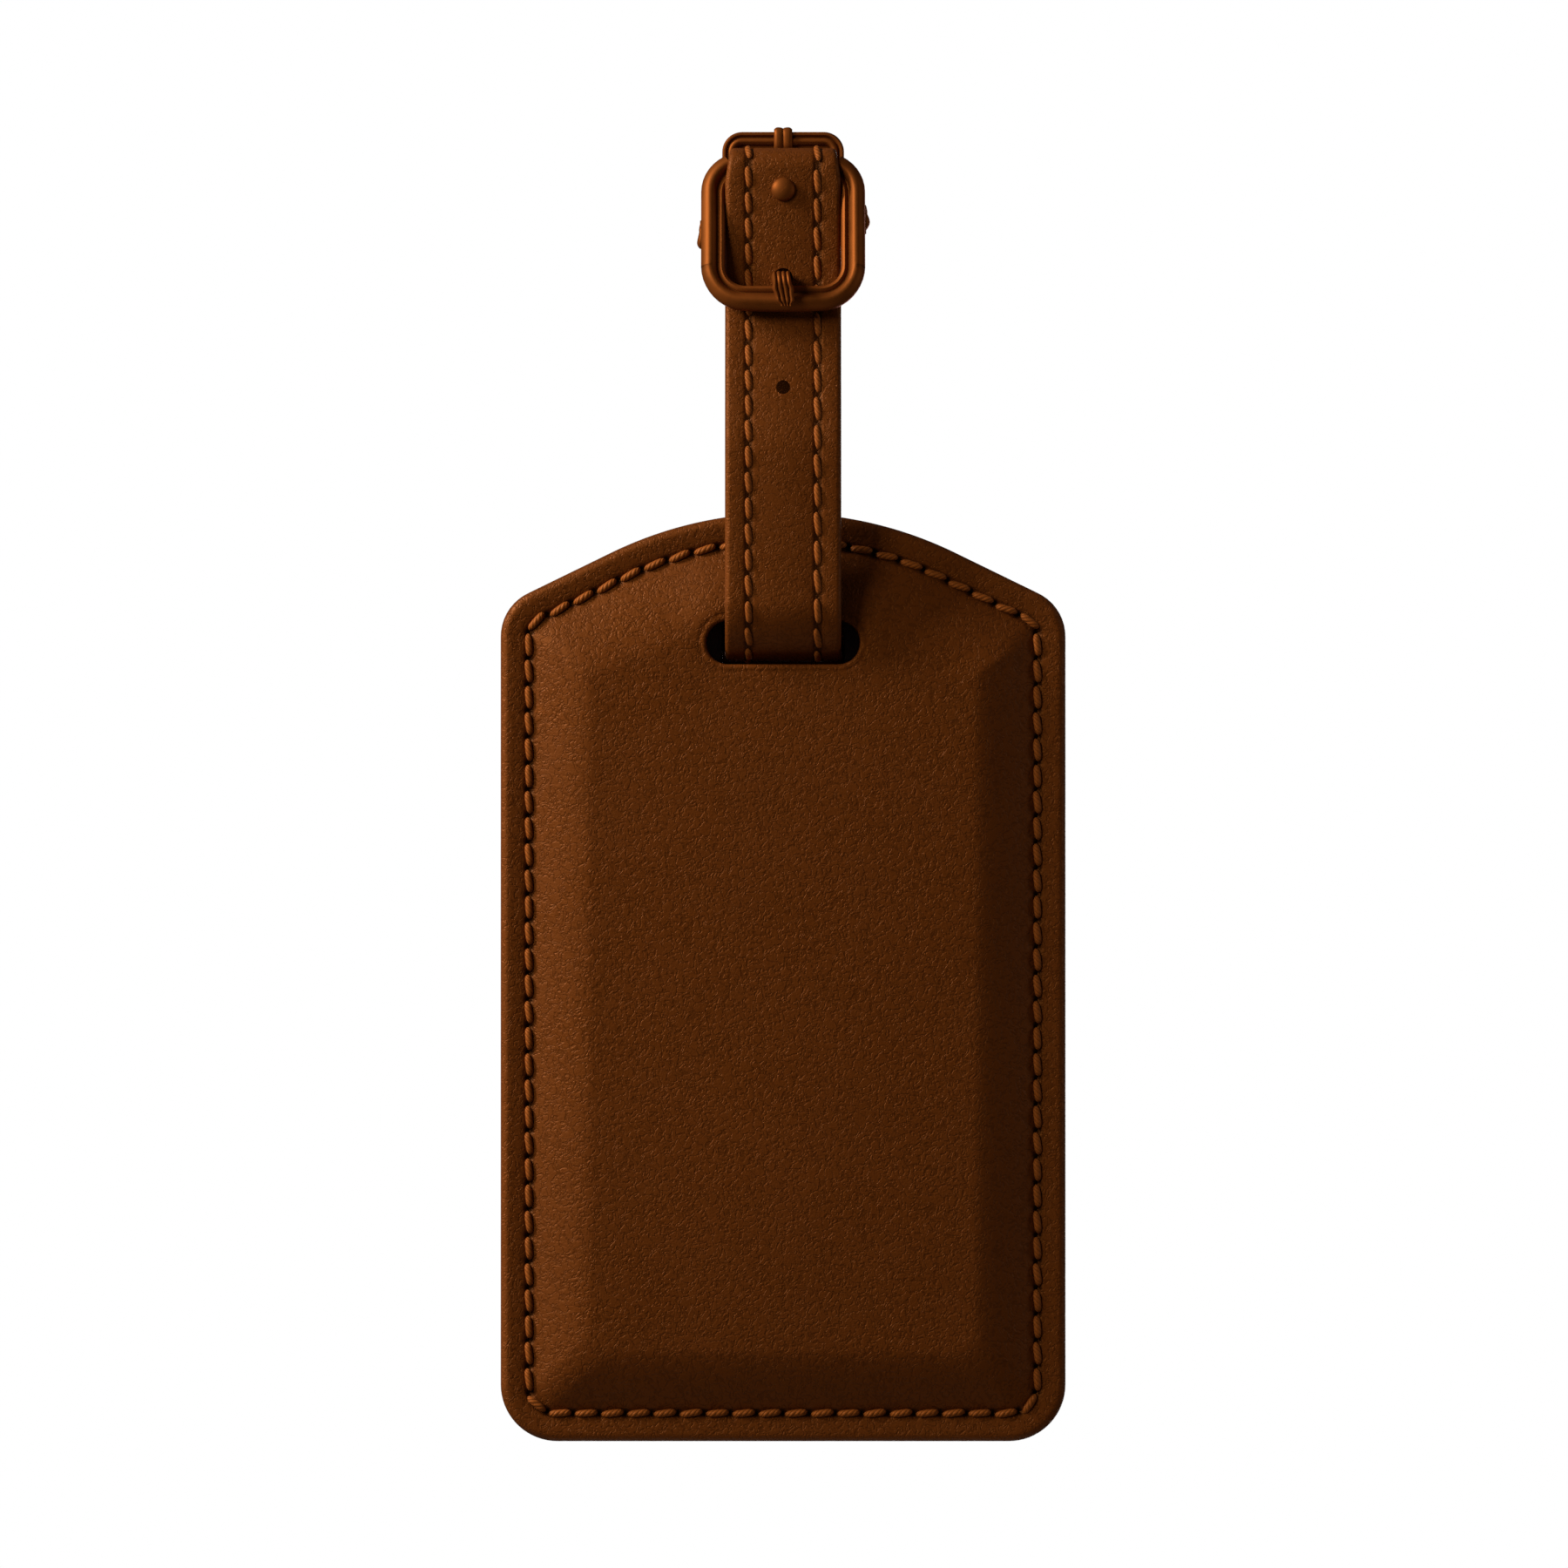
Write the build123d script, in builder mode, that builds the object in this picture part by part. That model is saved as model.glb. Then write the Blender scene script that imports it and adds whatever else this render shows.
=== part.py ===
from build123d import *
from math import cos, radians, sin, tan
import os

# A leather luggage tag, hanging from its strap. +Z is up and the face of the tag looks along -Y.
# The origin is inside the top of the strap's loop, just under the buckle and level with its pin.

# ---- driving dimensions, mm ----
tag_width = 64.8
tag_top = -20.9            # top of the arched upper edge
tag_bottom = -127.4
crown_radius = 45.0        # arc of the arched upper edge
crown_slope = 26.0         # degrees, the straight stretches beside the arc
foot_radius = 6.5
shoulder_radius = 5.5

face_y = -1.75             # front of the flat rim
pad_rise = 2.0             # padded middle above the rim
pad_start = 4.0            # how far in from the rim the padding's slope starts and ends
pad_end = 8.5
skin = 1.2                 # front and back leather
board = 1.0
welt = 1.2
film = 0.35
cover = 1.1                # window frame leather

slot_width = 17.6
slot_height = 5.0
slot_z = -35.8
inner_slot_width = 14.0
inner_slot_corner = 0.5
foam_gap = 0.05            # between the foam and the leather over it
foam_slot_grow = 1.0

pocket_left = -27.4
pocket_low = -122.4
pocket_high = -45.6
mouth_x = 28.4
card_width = 52.0
card_height = 76.0
card_thick = 0.35
card_corner = 1.5
card_indent = 0.8          # the card's clear space at the pocket's closed side
card_gap = 0.1             # between the card and the window film
film_gap = 0.3             # the film stops this far short of the pocket's edges
film_mouth_gap = 0.4
window_width = 44.0
window_height = 62.0
window_z = -84.0
window_indent = 3.0        # from the pocket's closed side
window_corner = 3.0
notch_radius = 8.0

seam_inset = 3.25
stitch_width = 0.8
stitch_rise = 0.3
seam_pitch = 3.0
stitch_gap = 0.5           # between the ends of neighbouring stitches
least_corner = 1.5         # smallest corner radius of a set-in outline

strap_width = 13.3
strap_skin = 1.0
lining = 0.6
loop_half = 6.6            # middle of the strap's outer leather from the loop's middle plane
bend_z = -30.9             # centre of the loop's lower bend, which the tag swings about
fold_z = 20.45
strap_stitch_x = 3.95
spare_hole_z = -6.6
hole_radius = 0.8
prong_hole_z = 5.9
prong_hole_radius = 1.4
prong_slot_half = 1.7
prong_slot_z = 12.0        # where the strap's end goes round the pin, cut away for the prong
prong_slot_height = 4.2
blade_groove_z = 8.5       # recess in the strap's end that the prong's blade lies in
blade_groove_height = 7.0
blade_groove_rear = 0.97
narrow_half = 5.4          # hidden ends of the strap, so that they clear the buckle
narrow_low = 8.0
fold_half = 6.15           # over the fold, between the keeper's corners
fold_zone = 2.0
shank_radius = 0.6
stud_z = 16.1
stud_radius = 1.35
stud_head = 0.9
stud_round = 0.75
stud_cap = 0.4
stud_cap_round = 0.2
chape_rivet_z = 3.6
rivet_head_radius = 1.5
rivet_head = 0.4
rivet_cap_radius = 1.9
rivet_cap = 0.7
rivet_cap_round = 0.45

pin_z = 11.9
pin_radius = 0.8
running_gap = 0.06
frame_width = 18.8
frame_length = 19.1        # along the frame's own slope
frame_depth = 2.4
side_bar = 2.35
rest_bar = 3.0
frame_lean = 15.4          # degrees, the lower bar stands forward
rest_centre = (-5.85, 3.5)
seat_centre = (-1.1, 18.5)
seat_radius = 0.8
seat_half = 7.2
frame_corner = 4.8         # outer and inner corner radii of the frame
opening_corner = 2.2
front_bevel = 0.6
lug_radius = 1.8
lug_root_y = -3.6          # where each lug meets its side bar, and how far it spreads up and down
lug_spread = 2.6
pin_head = 0.6
pin_head_radius = 1.35
pin_head_round = 0.4
prong_half = 0.9
prong_curl_radius = 1.5
blade_rear = 0.1           # the prong's blade behind the strap, along Y
blade_front = -0.9
hook_low = 5.5             # the stretch that goes forward through the strap's hole
hook_high = 6.4
tip_rear = -7.55           # the end that turns down in front of the lower bar
tip_front = -8.45
tip_low = 2.6
hook_round = 0.4
keeper_eye_radius = 1.75

keeper_half = 7.0
keeper_wire = 1.2
keeper_front = 1.65
keeper_top = 22.95
keeper_corner = 2.4
keeper_inner_corner = 1.2
keeper_foot = 1.0          # the wire's upright part ends this far below the pin
keeper_web = 2.4           # height of the bend between the wire and its eye
keeper_eye_gap = 0.15      # the eye is this much thinner than the wire
sleeve_half = 1.05
sleeve_low = 20.7
sleeve_high = 23.5
sleeve_wall = 0.35
sleeve_corner = 0.5

parts_folder = "parts"
os.makedirs(parts_folder, exist_ok=True)


def save(part, name):
    part.label = name
    export_step(part, f"{parts_folder}/{name}.step")


def front_plane(y):
    """An upright plane facing forward, at depth y. Extrudes go forward, to -Y."""
    return Plane.XZ.offset(-y)


# ---- the tag's body ----
def tag_shape(inset):
    """Outline of the tag, set in from its rim: arched top, straight shoulders, round corners."""
    half = tag_width / 2 - inset
    low = tag_bottom + inset
    radius = crown_radius - inset
    centre = tag_top - crown_radius
    slope = radians(crown_slope)
    arc_x = radius * sin(slope)
    arc_z = centre + radius * cos(slope)
    shoulder_z = arc_z - (half - arc_x) * tan(slope)
    with BuildSketch() as shape:
        with BuildLine():
            Polyline((arc_x, arc_z), (half, shoulder_z), (half, low), (-half, low),
                     (-half, shoulder_z), (-arc_x, arc_z))
            ThreePointArc((-arc_x, arc_z), (0, centre + radius), (arc_x, arc_z))
        make_face()
        feet = shape.vertices().sort_by(Axis.Y)[:2]
        fillet(feet, max(foot_radius - inset, least_corner))
        shoulders = [v for v in shape.vertices() if abs(v.X) > half - 0.01 and v.Y > low + 30]
        fillet(shoulders, max(shoulder_radius - inset, least_corner))
    return shape.sketch


def slot_cut(rear, front, grow=0.0):
    """Cut the wide round-ended slot of the face through the current part, from rear to front."""
    with BuildSketch(front_plane(rear)) as slot:
        with Locations((0, slot_z)):
            SlotOverall(slot_width + 2 * grow, slot_height + 2 * grow)
    extrude(slot.sketch, amount=rear - front, mode=Mode.SUBTRACT)


def inner_slot_cut(rear, front):
    """Cut the narrower slot of the layers behind the face, only just wider than the strap."""
    with BuildSketch(front_plane(rear)) as slot:
        with Locations((0, slot_z)):
            RectangleRounded(inner_slot_width, slot_height, inner_slot_corner)
    extrude(slot.sketch, amount=rear - front, mode=Mode.SUBTRACT)


pad_face = face_y - pad_rise
skin_back = face_y + skin
board_back = skin_back + board
panel_back = board_back + skin
welt_back = panel_back + welt
cover_back = welt_back + cover

with BuildPart() as front_panel:
    with BuildSketch(front_plane(skin_back)):
        add(tag_shape(0))
    extrude(amount=skin)
    with BuildSketch(front_plane(face_y)):
        add(tag_shape(pad_start))
    with BuildSketch(front_plane(pad_face)):
        add(tag_shape(pad_end))
    loft()
    with BuildSketch(front_plane(skin_back)):
        add(tag_shape(pad_start + skin))
    with BuildSketch(front_plane(pad_face + skin)):
        add(tag_shape(pad_end + skin))
    loft(mode=Mode.SUBTRACT)
    slot_cut(skin_back, pad_face)
save(front_panel.part, "front_panel")

with BuildPart() as foam_pad:
    with BuildSketch(front_plane(skin_back)):
        add(tag_shape(pad_start + skin + foam_gap))
    with BuildSketch(front_plane(pad_face + skin + foam_gap)):
        add(tag_shape(pad_end + skin + foam_gap))
    loft()
    slot_cut(skin_back, pad_face, grow=foam_slot_grow)
save(foam_pad.part, "foam_pad")

with BuildPart() as stiffener_board:
    with BuildSketch(front_plane(board_back)):
        add(tag_shape(0))
    extrude(amount=board)
    inner_slot_cut(board_back, skin_back)
save(stiffener_board.part, "stiffener_board")

with BuildPart() as back_panel:
    with BuildSketch(front_plane(panel_back)):
        add(tag_shape(0))
    extrude(amount=skin)
    inner_slot_cut(panel_back, board_back)
save(back_panel.part, "back_panel")

pocket_width = tag_width - pocket_left
pocket_height = pocket_high - pocket_low
pocket_z = (pocket_high + pocket_low) / 2
with BuildPart() as pocket_welt:
    with BuildSketch(front_plane(welt_back)):
        add(tag_shape(0))
        with Locations((pocket_left + pocket_width / 2, pocket_z)):
            Rectangle(pocket_width, pocket_height, mode=Mode.SUBTRACT)
    extrude(amount=welt)
    inner_slot_cut(welt_back, panel_back)
save(pocket_welt.part, "pocket_welt")

film_width = mouth_x - film_mouth_gap - (pocket_left + film_gap)
with BuildPart() as window_film:
    with BuildSketch(front_plane(welt_back)):
        with Locations((pocket_left + film_gap + film_width / 2, pocket_z)):
            Rectangle(film_width, pocket_height - 2 * film_gap)
    extrude(amount=film)
save(window_film.part, "window_film")

card_left = pocket_left + card_indent
card_back = welt_back - film - card_gap
with BuildPart() as address_card:
    with BuildSketch(front_plane(card_back)):
        with Locations((card_left + card_width / 2, pocket_z)):
            RectangleRounded(card_width, card_height, card_corner)
    extrude(amount=card_thick)
save(address_card.part, "address_card")

with BuildPart() as window_frame:
    with BuildSketch(front_plane(cover_back)):
        add(tag_shape(0))
        with Locations((mouth_x + tag_width / 2, pocket_z)):
            Rectangle(tag_width, pocket_height, mode=Mode.SUBTRACT)
        with Locations((mouth_x, window_z)):
            Ellipse(notch_radius / 2, notch_radius, mode=Mode.SUBTRACT)
        with Locations((pocket_left + window_indent + window_width / 2, window_z)):
            RectangleRounded(window_width, window_height, window_corner, mode=Mode.SUBTRACT)
    extrude(amount=cover)
    inner_slot_cut(cover_back, welt_back)
save(window_frame.part, "window_frame")


# ---- the seam round the tag ----
def seam_places(keep):
    """Where each stitch of the seam lies and which way it runs, for the places that keep allows."""
    seam = tag_shape(seam_inset).wires()[0]
    count = round(seam.length / seam_pitch)
    places = []
    for number in range(count):
        along = (number + 0.5) / count
        spot = seam.position_at(along)
        turn = seam.tangent_angle_at(along)
        if keep(spot):
            places.append(Location((spot.X, spot.Y, 0), (0, 0, turn)))
    return places


def within_mouth(spot, spare):
    """Whether a place on the seam is beside the pocket's open side."""
    return spot.X > mouth_x and pocket_low + spare < spot.Y < pocket_high - spare


stitch_length = seam_pitch - stitch_gap
clear_of_step = 1.4        # no stitch straddles the step where the pocket's mouth starts
with BuildPart() as front_stitching:
    with BuildSketch(front_plane(face_y)):
        with Locations(*seam_places(lambda spot: True)):
            SlotOverall(stitch_length, stitch_width)
    extrude(amount=stitch_rise)
save(front_stitching.part, "front_stitching")

with BuildPart() as back_stitching:
    with BuildSketch(front_plane(cover_back + stitch_rise)):
        with Locations(*seam_places(lambda spot: not within_mouth(spot, -clear_of_step))):
            SlotOverall(stitch_length, stitch_width)
    extrude(amount=stitch_rise)
    with BuildSketch(front_plane(panel_back + stitch_rise)):
        with Locations(*seam_places(lambda spot: within_mouth(spot, clear_of_step))):
            SlotOverall(stitch_length, stitch_width)
    extrude(amount=stitch_rise)
save(back_stitching.part, "back_stitching")

# ---- the strap ----
# Middle of the outer leather, seen from the side as (y, z): from the turned-down free end, over the
# buckle's top bar, down the front, round the bend in the tag's slot, up the back and round the pin.
strap_route = [
    (0.85, 14.6),
    (0.85, fold_z),
    (-3.05, fold_z),
    (-3.05, 12.0),
    (-3.4, 2.5),
    (-loop_half, -13.0),
    (-loop_half, bend_z - loop_half),
    (loop_half, bend_z - loop_half),
    (loop_half, -13.0),
    (1.6, 2.0),
    (1.35, 13.25),
    (-1.35, 13.25),
    (-1.35, 11.0),
    (0.45, 7.0),
    (0.45, 1.4),
]
strap_bends = [1.93, 1.93, 20.0, 18.0, 18.0, 6.58, 6.58, 18.0, 12.0, 1.33, 1.33, 1.0, 2.0]
lining_points = 10         # the lining stops where the strap starts round the pin
lining_end = (2.333, -0.2)


def side_line(route, bends, away):
    """The route moved to its left by away, every bend keeping its own centre."""
    spots = [Vector(*spot) for spot in route]
    runs = [(after - before).normalized() for before, after in zip(spots, spots[1:])]
    lefts = [Vector(-run.Y, run.X) for run in runs]
    moved = [spots[0] + lefts[0] * away]
    radii = []
    for number, bend in enumerate(bends):
        left, next_left = lefts[number], lefts[number + 1]
        mitre = (left + next_left) * (away / (1 + left.dot(next_left)))
        moved.append(spots[number + 1] + mitre)
        turns_left = runs[number].cross(runs[number + 1]).Z > 0
        radii.append(bend - away if turns_left else bend + away)
    moved.append(spots[-1] + lefts[-1] * away)
    return FilletPolyline(*[(spot.X, spot.Y) for spot in moved], radius=radii)


def band(route, bends, right, left, width):
    """Extrude a strip that follows the route across the current part, centred on X."""
    with BuildSketch(Plane.YZ.offset(-width / 2)) as profile:
        with BuildLine():
            one = side_line(route, bends, right)
            other = side_line(route, bends, left)
            Line(one @ 0, other @ 0)
            Line(one @ 1, other @ 1)
        make_face()
    extrude(profile.sketch, amount=width)


def cross_hole(z, radius, rear, front):
    """Cut a round hole along Y through the current part."""
    with BuildSketch(front_plane(rear)) as hole:
        with Locations((0, z)):
            Circle(radius)
    extrude(hole.sketch, amount=rear - front, mode=Mode.SUBTRACT)


def trim_sides(half, rear, front, low, high):
    """Narrow the strap to half on each side of its middle, between two heights."""
    for side in (-1, 1):
        with BuildSketch(front_plane(rear)) as edge:
            with Locations((side * (half + 5), (low + high) / 2)):
                Rectangle(10, high - low)
        extrude(edge.sketch, amount=rear - front, mode=Mode.SUBTRACT)


outer_face = -strap_skin / 2
inner_face = strap_skin / 2

with BuildPart() as strap_outer:
    band(strap_route, strap_bends, outer_face, inner_face, strap_width)
    cross_hole(spare_hole_z, hole_radius, 0, -9)
    cross_hole(prong_hole_z, prong_hole_radius, -1.8, -9)
    cross_hole(stud_z, shank_radius, 2, -9)
    cross_hole(chape_rivet_z, shank_radius, 3, -1.5)
    trim_sides(narrow_half, 3, -2.0, narrow_low, fold_z - fold_zone)
    trim_sides(fold_half, 3, -5, fold_z - fold_zone, fold_z + 1)
    with BuildSketch(front_plane(3)):
        with Locations((0, prong_slot_z)):
            Rectangle(2 * prong_slot_half, prong_slot_height)
    extrude(amount=5.0, mode=Mode.SUBTRACT)
    with BuildSketch(front_plane(blade_groove_rear)):
        with Locations((0, blade_groove_z)):
            SlotOverall(blade_groove_height, 2 * prong_slot_half, rotation=90)
    extrude(amount=2.9, mode=Mode.SUBTRACT)
save(strap_outer.part, "strap_outer")

lining_route = strap_route[:lining_points - 1] + [lining_end]
lining_bends = strap_bends[:lining_points - 2]
with BuildPart() as strap_lining:
    band(lining_route, lining_bends, inner_face, inner_face + lining, strap_width)
    cross_hole(spare_hole_z, hole_radius, 0, -9)
    cross_hole(prong_hole_z, prong_hole_radius, 0, -9)
    cross_hole(stud_z, shank_radius, 2, -9)
    trim_sides(narrow_half, 3, -1.5, 14, fold_z - fold_zone)
    trim_sides(fold_half, 3, -5, fold_z - fold_zone, fold_z + 1)
save(strap_lining.part, "strap_lining")

strap_stitch_length = 2.3
strap_stitch_width = 0.7
strap_stitch_rise = 0.25
stitches_start = 9.5       # along the outer face, from the free end's tip, past the fold
stitches_end = 8.0         # short of where the strap goes round the pin


def strap_stitches(x, pitch):
    """A row of stitches down the front of the strap, round the bend and up the back."""
    with BuildLine(Plane.YZ) as face:
        side_line(strap_route[:11], strap_bends[:9], outer_face)
    line = face.wires()[0]
    count = int((line.length - stitches_start - stitches_end) / pitch)
    for number in range(count):
        along = (stitches_start + (number + 0.5) * pitch) / line.length
        spot = line.position_at(along)
        run = line.tangent_at(along)
        out = Vector(0, run.Z, -run.Y)
        with BuildSketch(Plane(spot, x_dir=run, z_dir=out)) as stitch:
            SlotOverall(strap_stitch_length, strap_stitch_width)
        extrude(stitch.sketch, amount=strap_stitch_rise)


with BuildPart() as strap_stitching_left:
    strap_stitches(-strap_stitch_x, 2.9)
with BuildPart() as strap_stitching_right:
    strap_stitches(strap_stitch_x, 3.5)
save(Pos(-strap_stitch_x, 0, 0) * strap_stitching_left.part, "strap_stitching_left")
save(Pos(strap_stitch_x, 0, 0) * strap_stitching_right.part, "strap_stitching_right")

# ---- stud and rivet ----
front_run_face = -3.55     # front of the strap beside the stud
tail_back = 1.35           # rear of the turned-down free end
with BuildPart() as tail_stud:
    with BuildSketch(front_plane(tail_back)):
        with Locations((0, stud_z)):
            Circle(shank_radius)
    extrude(amount=tail_back - front_run_face)
    with BuildSketch(front_plane(front_run_face)):
        with Locations((0, stud_z)):
            Circle(stud_radius)
    extrude(amount=stud_head)
    fillet(tail_stud.faces().sort_by(Axis.Y)[0].edges(), stud_round)
save(tail_stud.part, "tail_stud")

with BuildPart() as tail_stud_cap:
    with BuildSketch(front_plane(tail_back + stud_cap)):
        with Locations((0, stud_z)):
            Circle(stud_radius)
    extrude(amount=stud_cap)
    fillet(tail_stud_cap.faces().sort_by(Axis.Y)[-1].edges(), stud_cap_round)
save(tail_stud_cap.part, "tail_stud_cap")

chape_front = -0.05
chape_back = 2.08
with BuildPart() as chape_rivet:
    with BuildSketch(front_plane(chape_back)):
        with Locations((0, chape_rivet_z)):
            Circle(shank_radius)
    extrude(amount=chape_back - chape_front)
    with BuildSketch(front_plane(chape_front)):
        with Locations((0, chape_rivet_z)):
            Circle(rivet_head_radius)
    extrude(amount=rivet_head)
save(chape_rivet.part, "chape_rivet")

with BuildPart() as chape_rivet_cap:
    with BuildSketch(front_plane(chape_back + rivet_cap)):
        with Locations((0, chape_rivet_z)):
            Circle(rivet_cap_radius)
    extrude(amount=rivet_cap)
    fillet(chape_rivet_cap.faces().sort_by(Axis.Y)[-1].edges(), rivet_cap_round)
save(chape_rivet_cap.part, "chape_rivet_cap")

# ---- the buckle ----
# The frame lies in its own sloping plane: local x across, local y up the slope from the lower bar.
lean = radians(frame_lean)
frame_plane = Plane(
    origin=(0, rest_centre[0], rest_centre[1]),
    x_dir=(1, 0, 0),
    z_dir=(0, -cos(lean), sin(lean)),
)
rest_low = -rest_bar / 2
frame_middle = rest_low + frame_length / 2
opening_length = frame_length - rest_bar - side_bar
opening_middle = rest_bar / 2 + opening_length / 2
with BuildPart() as buckle_frame:
    with BuildSketch(frame_plane.offset(-frame_depth / 2)):
        with Locations((0, frame_middle)):
            RectangleRounded(frame_width, frame_length, frame_corner)
        with Locations((0, opening_middle)):
            RectangleRounded(frame_width - 2 * side_bar, opening_length, opening_corner,
                             mode=Mode.SUBTRACT)
    extrude(amount=frame_depth)
    front_edges = buckle_frame.faces().sort_by(Axis((0, 0, 0), frame_plane.z_dir))[-1].edges()
    chamfer(front_edges, front_bevel)
    with BuildSketch(frame_plane.offset(-frame_depth)):
        with Locations((0, frame_middle + frame_length / 2)):
            Rectangle(strap_width + 0.2, 2 * (side_bar + 1))
    extrude(amount=2 * frame_depth, mode=Mode.SUBTRACT)
    with BuildSketch(Plane.YZ.offset(-frame_width / 2)):
        with BuildLine():
            Polyline((lug_root_y, pin_z + lug_spread), (0, pin_z + lug_radius),
                     (0, pin_z - lug_radius), (lug_root_y, pin_z - lug_spread), close=True)
        make_face()
        with Locations((0, pin_z)):
            Circle(lug_radius)
    extrude(amount=side_bar)
    mirror(about=Plane.YZ)
    with BuildSketch(Plane.YZ.offset(-frame_width / 2)):
        with Locations((0, pin_z)):
            Circle(pin_radius)
    extrude(amount=frame_width, mode=Mode.SUBTRACT)
    with BuildSketch(Plane.YZ.offset(-seat_half)):
        with Locations(seat_centre):
            Circle(seat_radius)
    extrude(amount=2 * seat_half)
save(buckle_frame.part, "buckle_frame")

with BuildPart() as hinge_pin:
    with BuildSketch(Plane.YZ.offset(-frame_width / 2)):
        with Locations((0, pin_z)):
            Circle(pin_radius)
    extrude(amount=frame_width)
    for plane in (Plane.YZ.offset(frame_width / 2), Plane.ZY.offset(frame_width / 2)):
        with BuildSketch(plane):
            with Locations(plane.to_local_coords(Vector(0, 0, pin_z))):
                Circle(pin_head_radius)
        extrude(amount=pin_head)
    ends = [hinge_pin.faces().sort_by(Axis.X)[0], hinge_pin.faces().sort_by(Axis.X)[-1]]
    fillet([edge for end in ends for edge in end.edges()], pin_head_round)
save(hinge_pin.part, "hinge_pin")

# The prong hooks over the lower bar: a curl on the pin, a blade behind the strap, then forward
# through the strap's hole and down in front of the bar.
with BuildPart() as prong:
    with BuildSketch(Plane.YZ.offset(-prong_half)):
        with BuildLine():
            Polyline((blade_rear, pin_z), (blade_rear, hook_low), (tip_rear, hook_low),
                     (tip_rear, tip_low), (tip_front, tip_low), (tip_front, hook_high),
                     (blade_front, hook_high), (blade_front, pin_z), close=True)
        make_face()
        with Locations((0, pin_z)):
            Circle(prong_curl_radius)
            Circle(pin_radius + running_gap, mode=Mode.SUBTRACT)
    extrude(amount=2 * prong_half)
    hook_edges = prong.edges().filter_by(Axis.X).sort_by(Axis.Y)[:2]
    fillet(hook_edges, hook_round)
save(prong.part, "prong")

# The keeper loop stands behind the strap: an eye round the pin on each side and a bar above the fold.
keeper_back = keeper_front + keeper_wire
keeper_low = pin_z - keeper_foot
inner_top = keeper_top - keeper_wire
inner_low = pin_z - 4 * keeper_foot
with BuildPart() as keeper_loop:
    with BuildSketch(front_plane(keeper_back)):
        with Locations((0, (keeper_top + keeper_low) / 2)):
            RectangleRounded(2 * keeper_half, keeper_top - keeper_low, keeper_corner)
        with Locations((0, (inner_top + inner_low) / 2)):
            RectangleRounded(2 * (keeper_half - keeper_wire), inner_top - inner_low,
                             keeper_inner_corner, mode=Mode.SUBTRACT)
        with Locations((0, keeper_low)):
            Rectangle(2 * keeper_half + 1, 4 * keeper_foot, mode=Mode.SUBTRACT)
    extrude(amount=keeper_wire)
    with BuildSketch(Plane.YZ.offset(-keeper_half + keeper_eye_gap)):
        with Locations((0, pin_z)):
            Circle(keeper_eye_radius)
        with Locations((keeper_back / 2, pin_z)):
            Rectangle(keeper_back, keeper_web)
        with Locations((0, pin_z)):
            Circle(pin_radius + running_gap, mode=Mode.SUBTRACT)
    extrude(amount=keeper_wire - keeper_eye_gap)
    mirror(about=Plane.YZ)
save(keeper_loop.part, "keeper_loop")

with BuildPart() as keeper_ferrule:
    with BuildSketch(Plane.YZ.offset(-sleeve_half)):
        with Locations(((keeper_front + keeper_back) / 2, (sleeve_low + sleeve_high) / 2)):
            RectangleRounded(keeper_wire + 2 * sleeve_wall, sleeve_high - sleeve_low, sleeve_corner)
        with Locations(((keeper_front + keeper_back) / 2, keeper_top - keeper_wire / 2)):
            Rectangle(keeper_wire, keeper_wire, mode=Mode.SUBTRACT)
    extrude(amount=2 * sleeve_half)
save(keeper_ferrule.part, "keeper_ferrule")
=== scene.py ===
"""A leather luggage tag: padded, stitched face, card pocket behind, and a buckled strap
through its slot."""
from math import atan2, ceil, cos, exp, pi, radians, sin, tan

import bmesh
import bpy
from bpy.props import FloatProperty, FloatVectorProperty, IntProperty, PointerProperty
from mathutils import Matrix, Vector


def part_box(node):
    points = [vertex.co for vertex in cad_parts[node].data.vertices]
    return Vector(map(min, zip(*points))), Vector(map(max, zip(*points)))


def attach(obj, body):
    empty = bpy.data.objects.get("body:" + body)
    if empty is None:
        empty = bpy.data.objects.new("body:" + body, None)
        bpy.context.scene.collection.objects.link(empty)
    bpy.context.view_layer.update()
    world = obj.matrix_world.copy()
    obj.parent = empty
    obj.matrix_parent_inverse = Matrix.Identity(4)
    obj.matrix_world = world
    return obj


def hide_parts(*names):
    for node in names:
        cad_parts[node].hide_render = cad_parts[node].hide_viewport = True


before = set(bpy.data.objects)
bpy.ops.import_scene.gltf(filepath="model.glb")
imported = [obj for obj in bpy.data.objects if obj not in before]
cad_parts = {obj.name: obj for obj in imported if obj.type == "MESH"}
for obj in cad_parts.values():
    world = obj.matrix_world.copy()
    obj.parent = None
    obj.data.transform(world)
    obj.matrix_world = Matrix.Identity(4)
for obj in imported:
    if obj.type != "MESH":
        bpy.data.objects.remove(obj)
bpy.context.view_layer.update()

bl_info = {
    "name": "Luggage tag",
    "version": (1, 0, 0),
    "blender": (4, 5, 0),
    "location": "View3D > Sidebar > Luggage tag",
    "description": "Builds a luggage tag's leather, thread and metal pieces round its CAD frame",
    "category": "Object",
}

MM = 0.001


def mm_box(node):
    """Lowest and highest corner of a CAD node, in millimetres."""
    low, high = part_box(node)
    return [value / MM for value in low], [value / MM for value in high]


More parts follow.
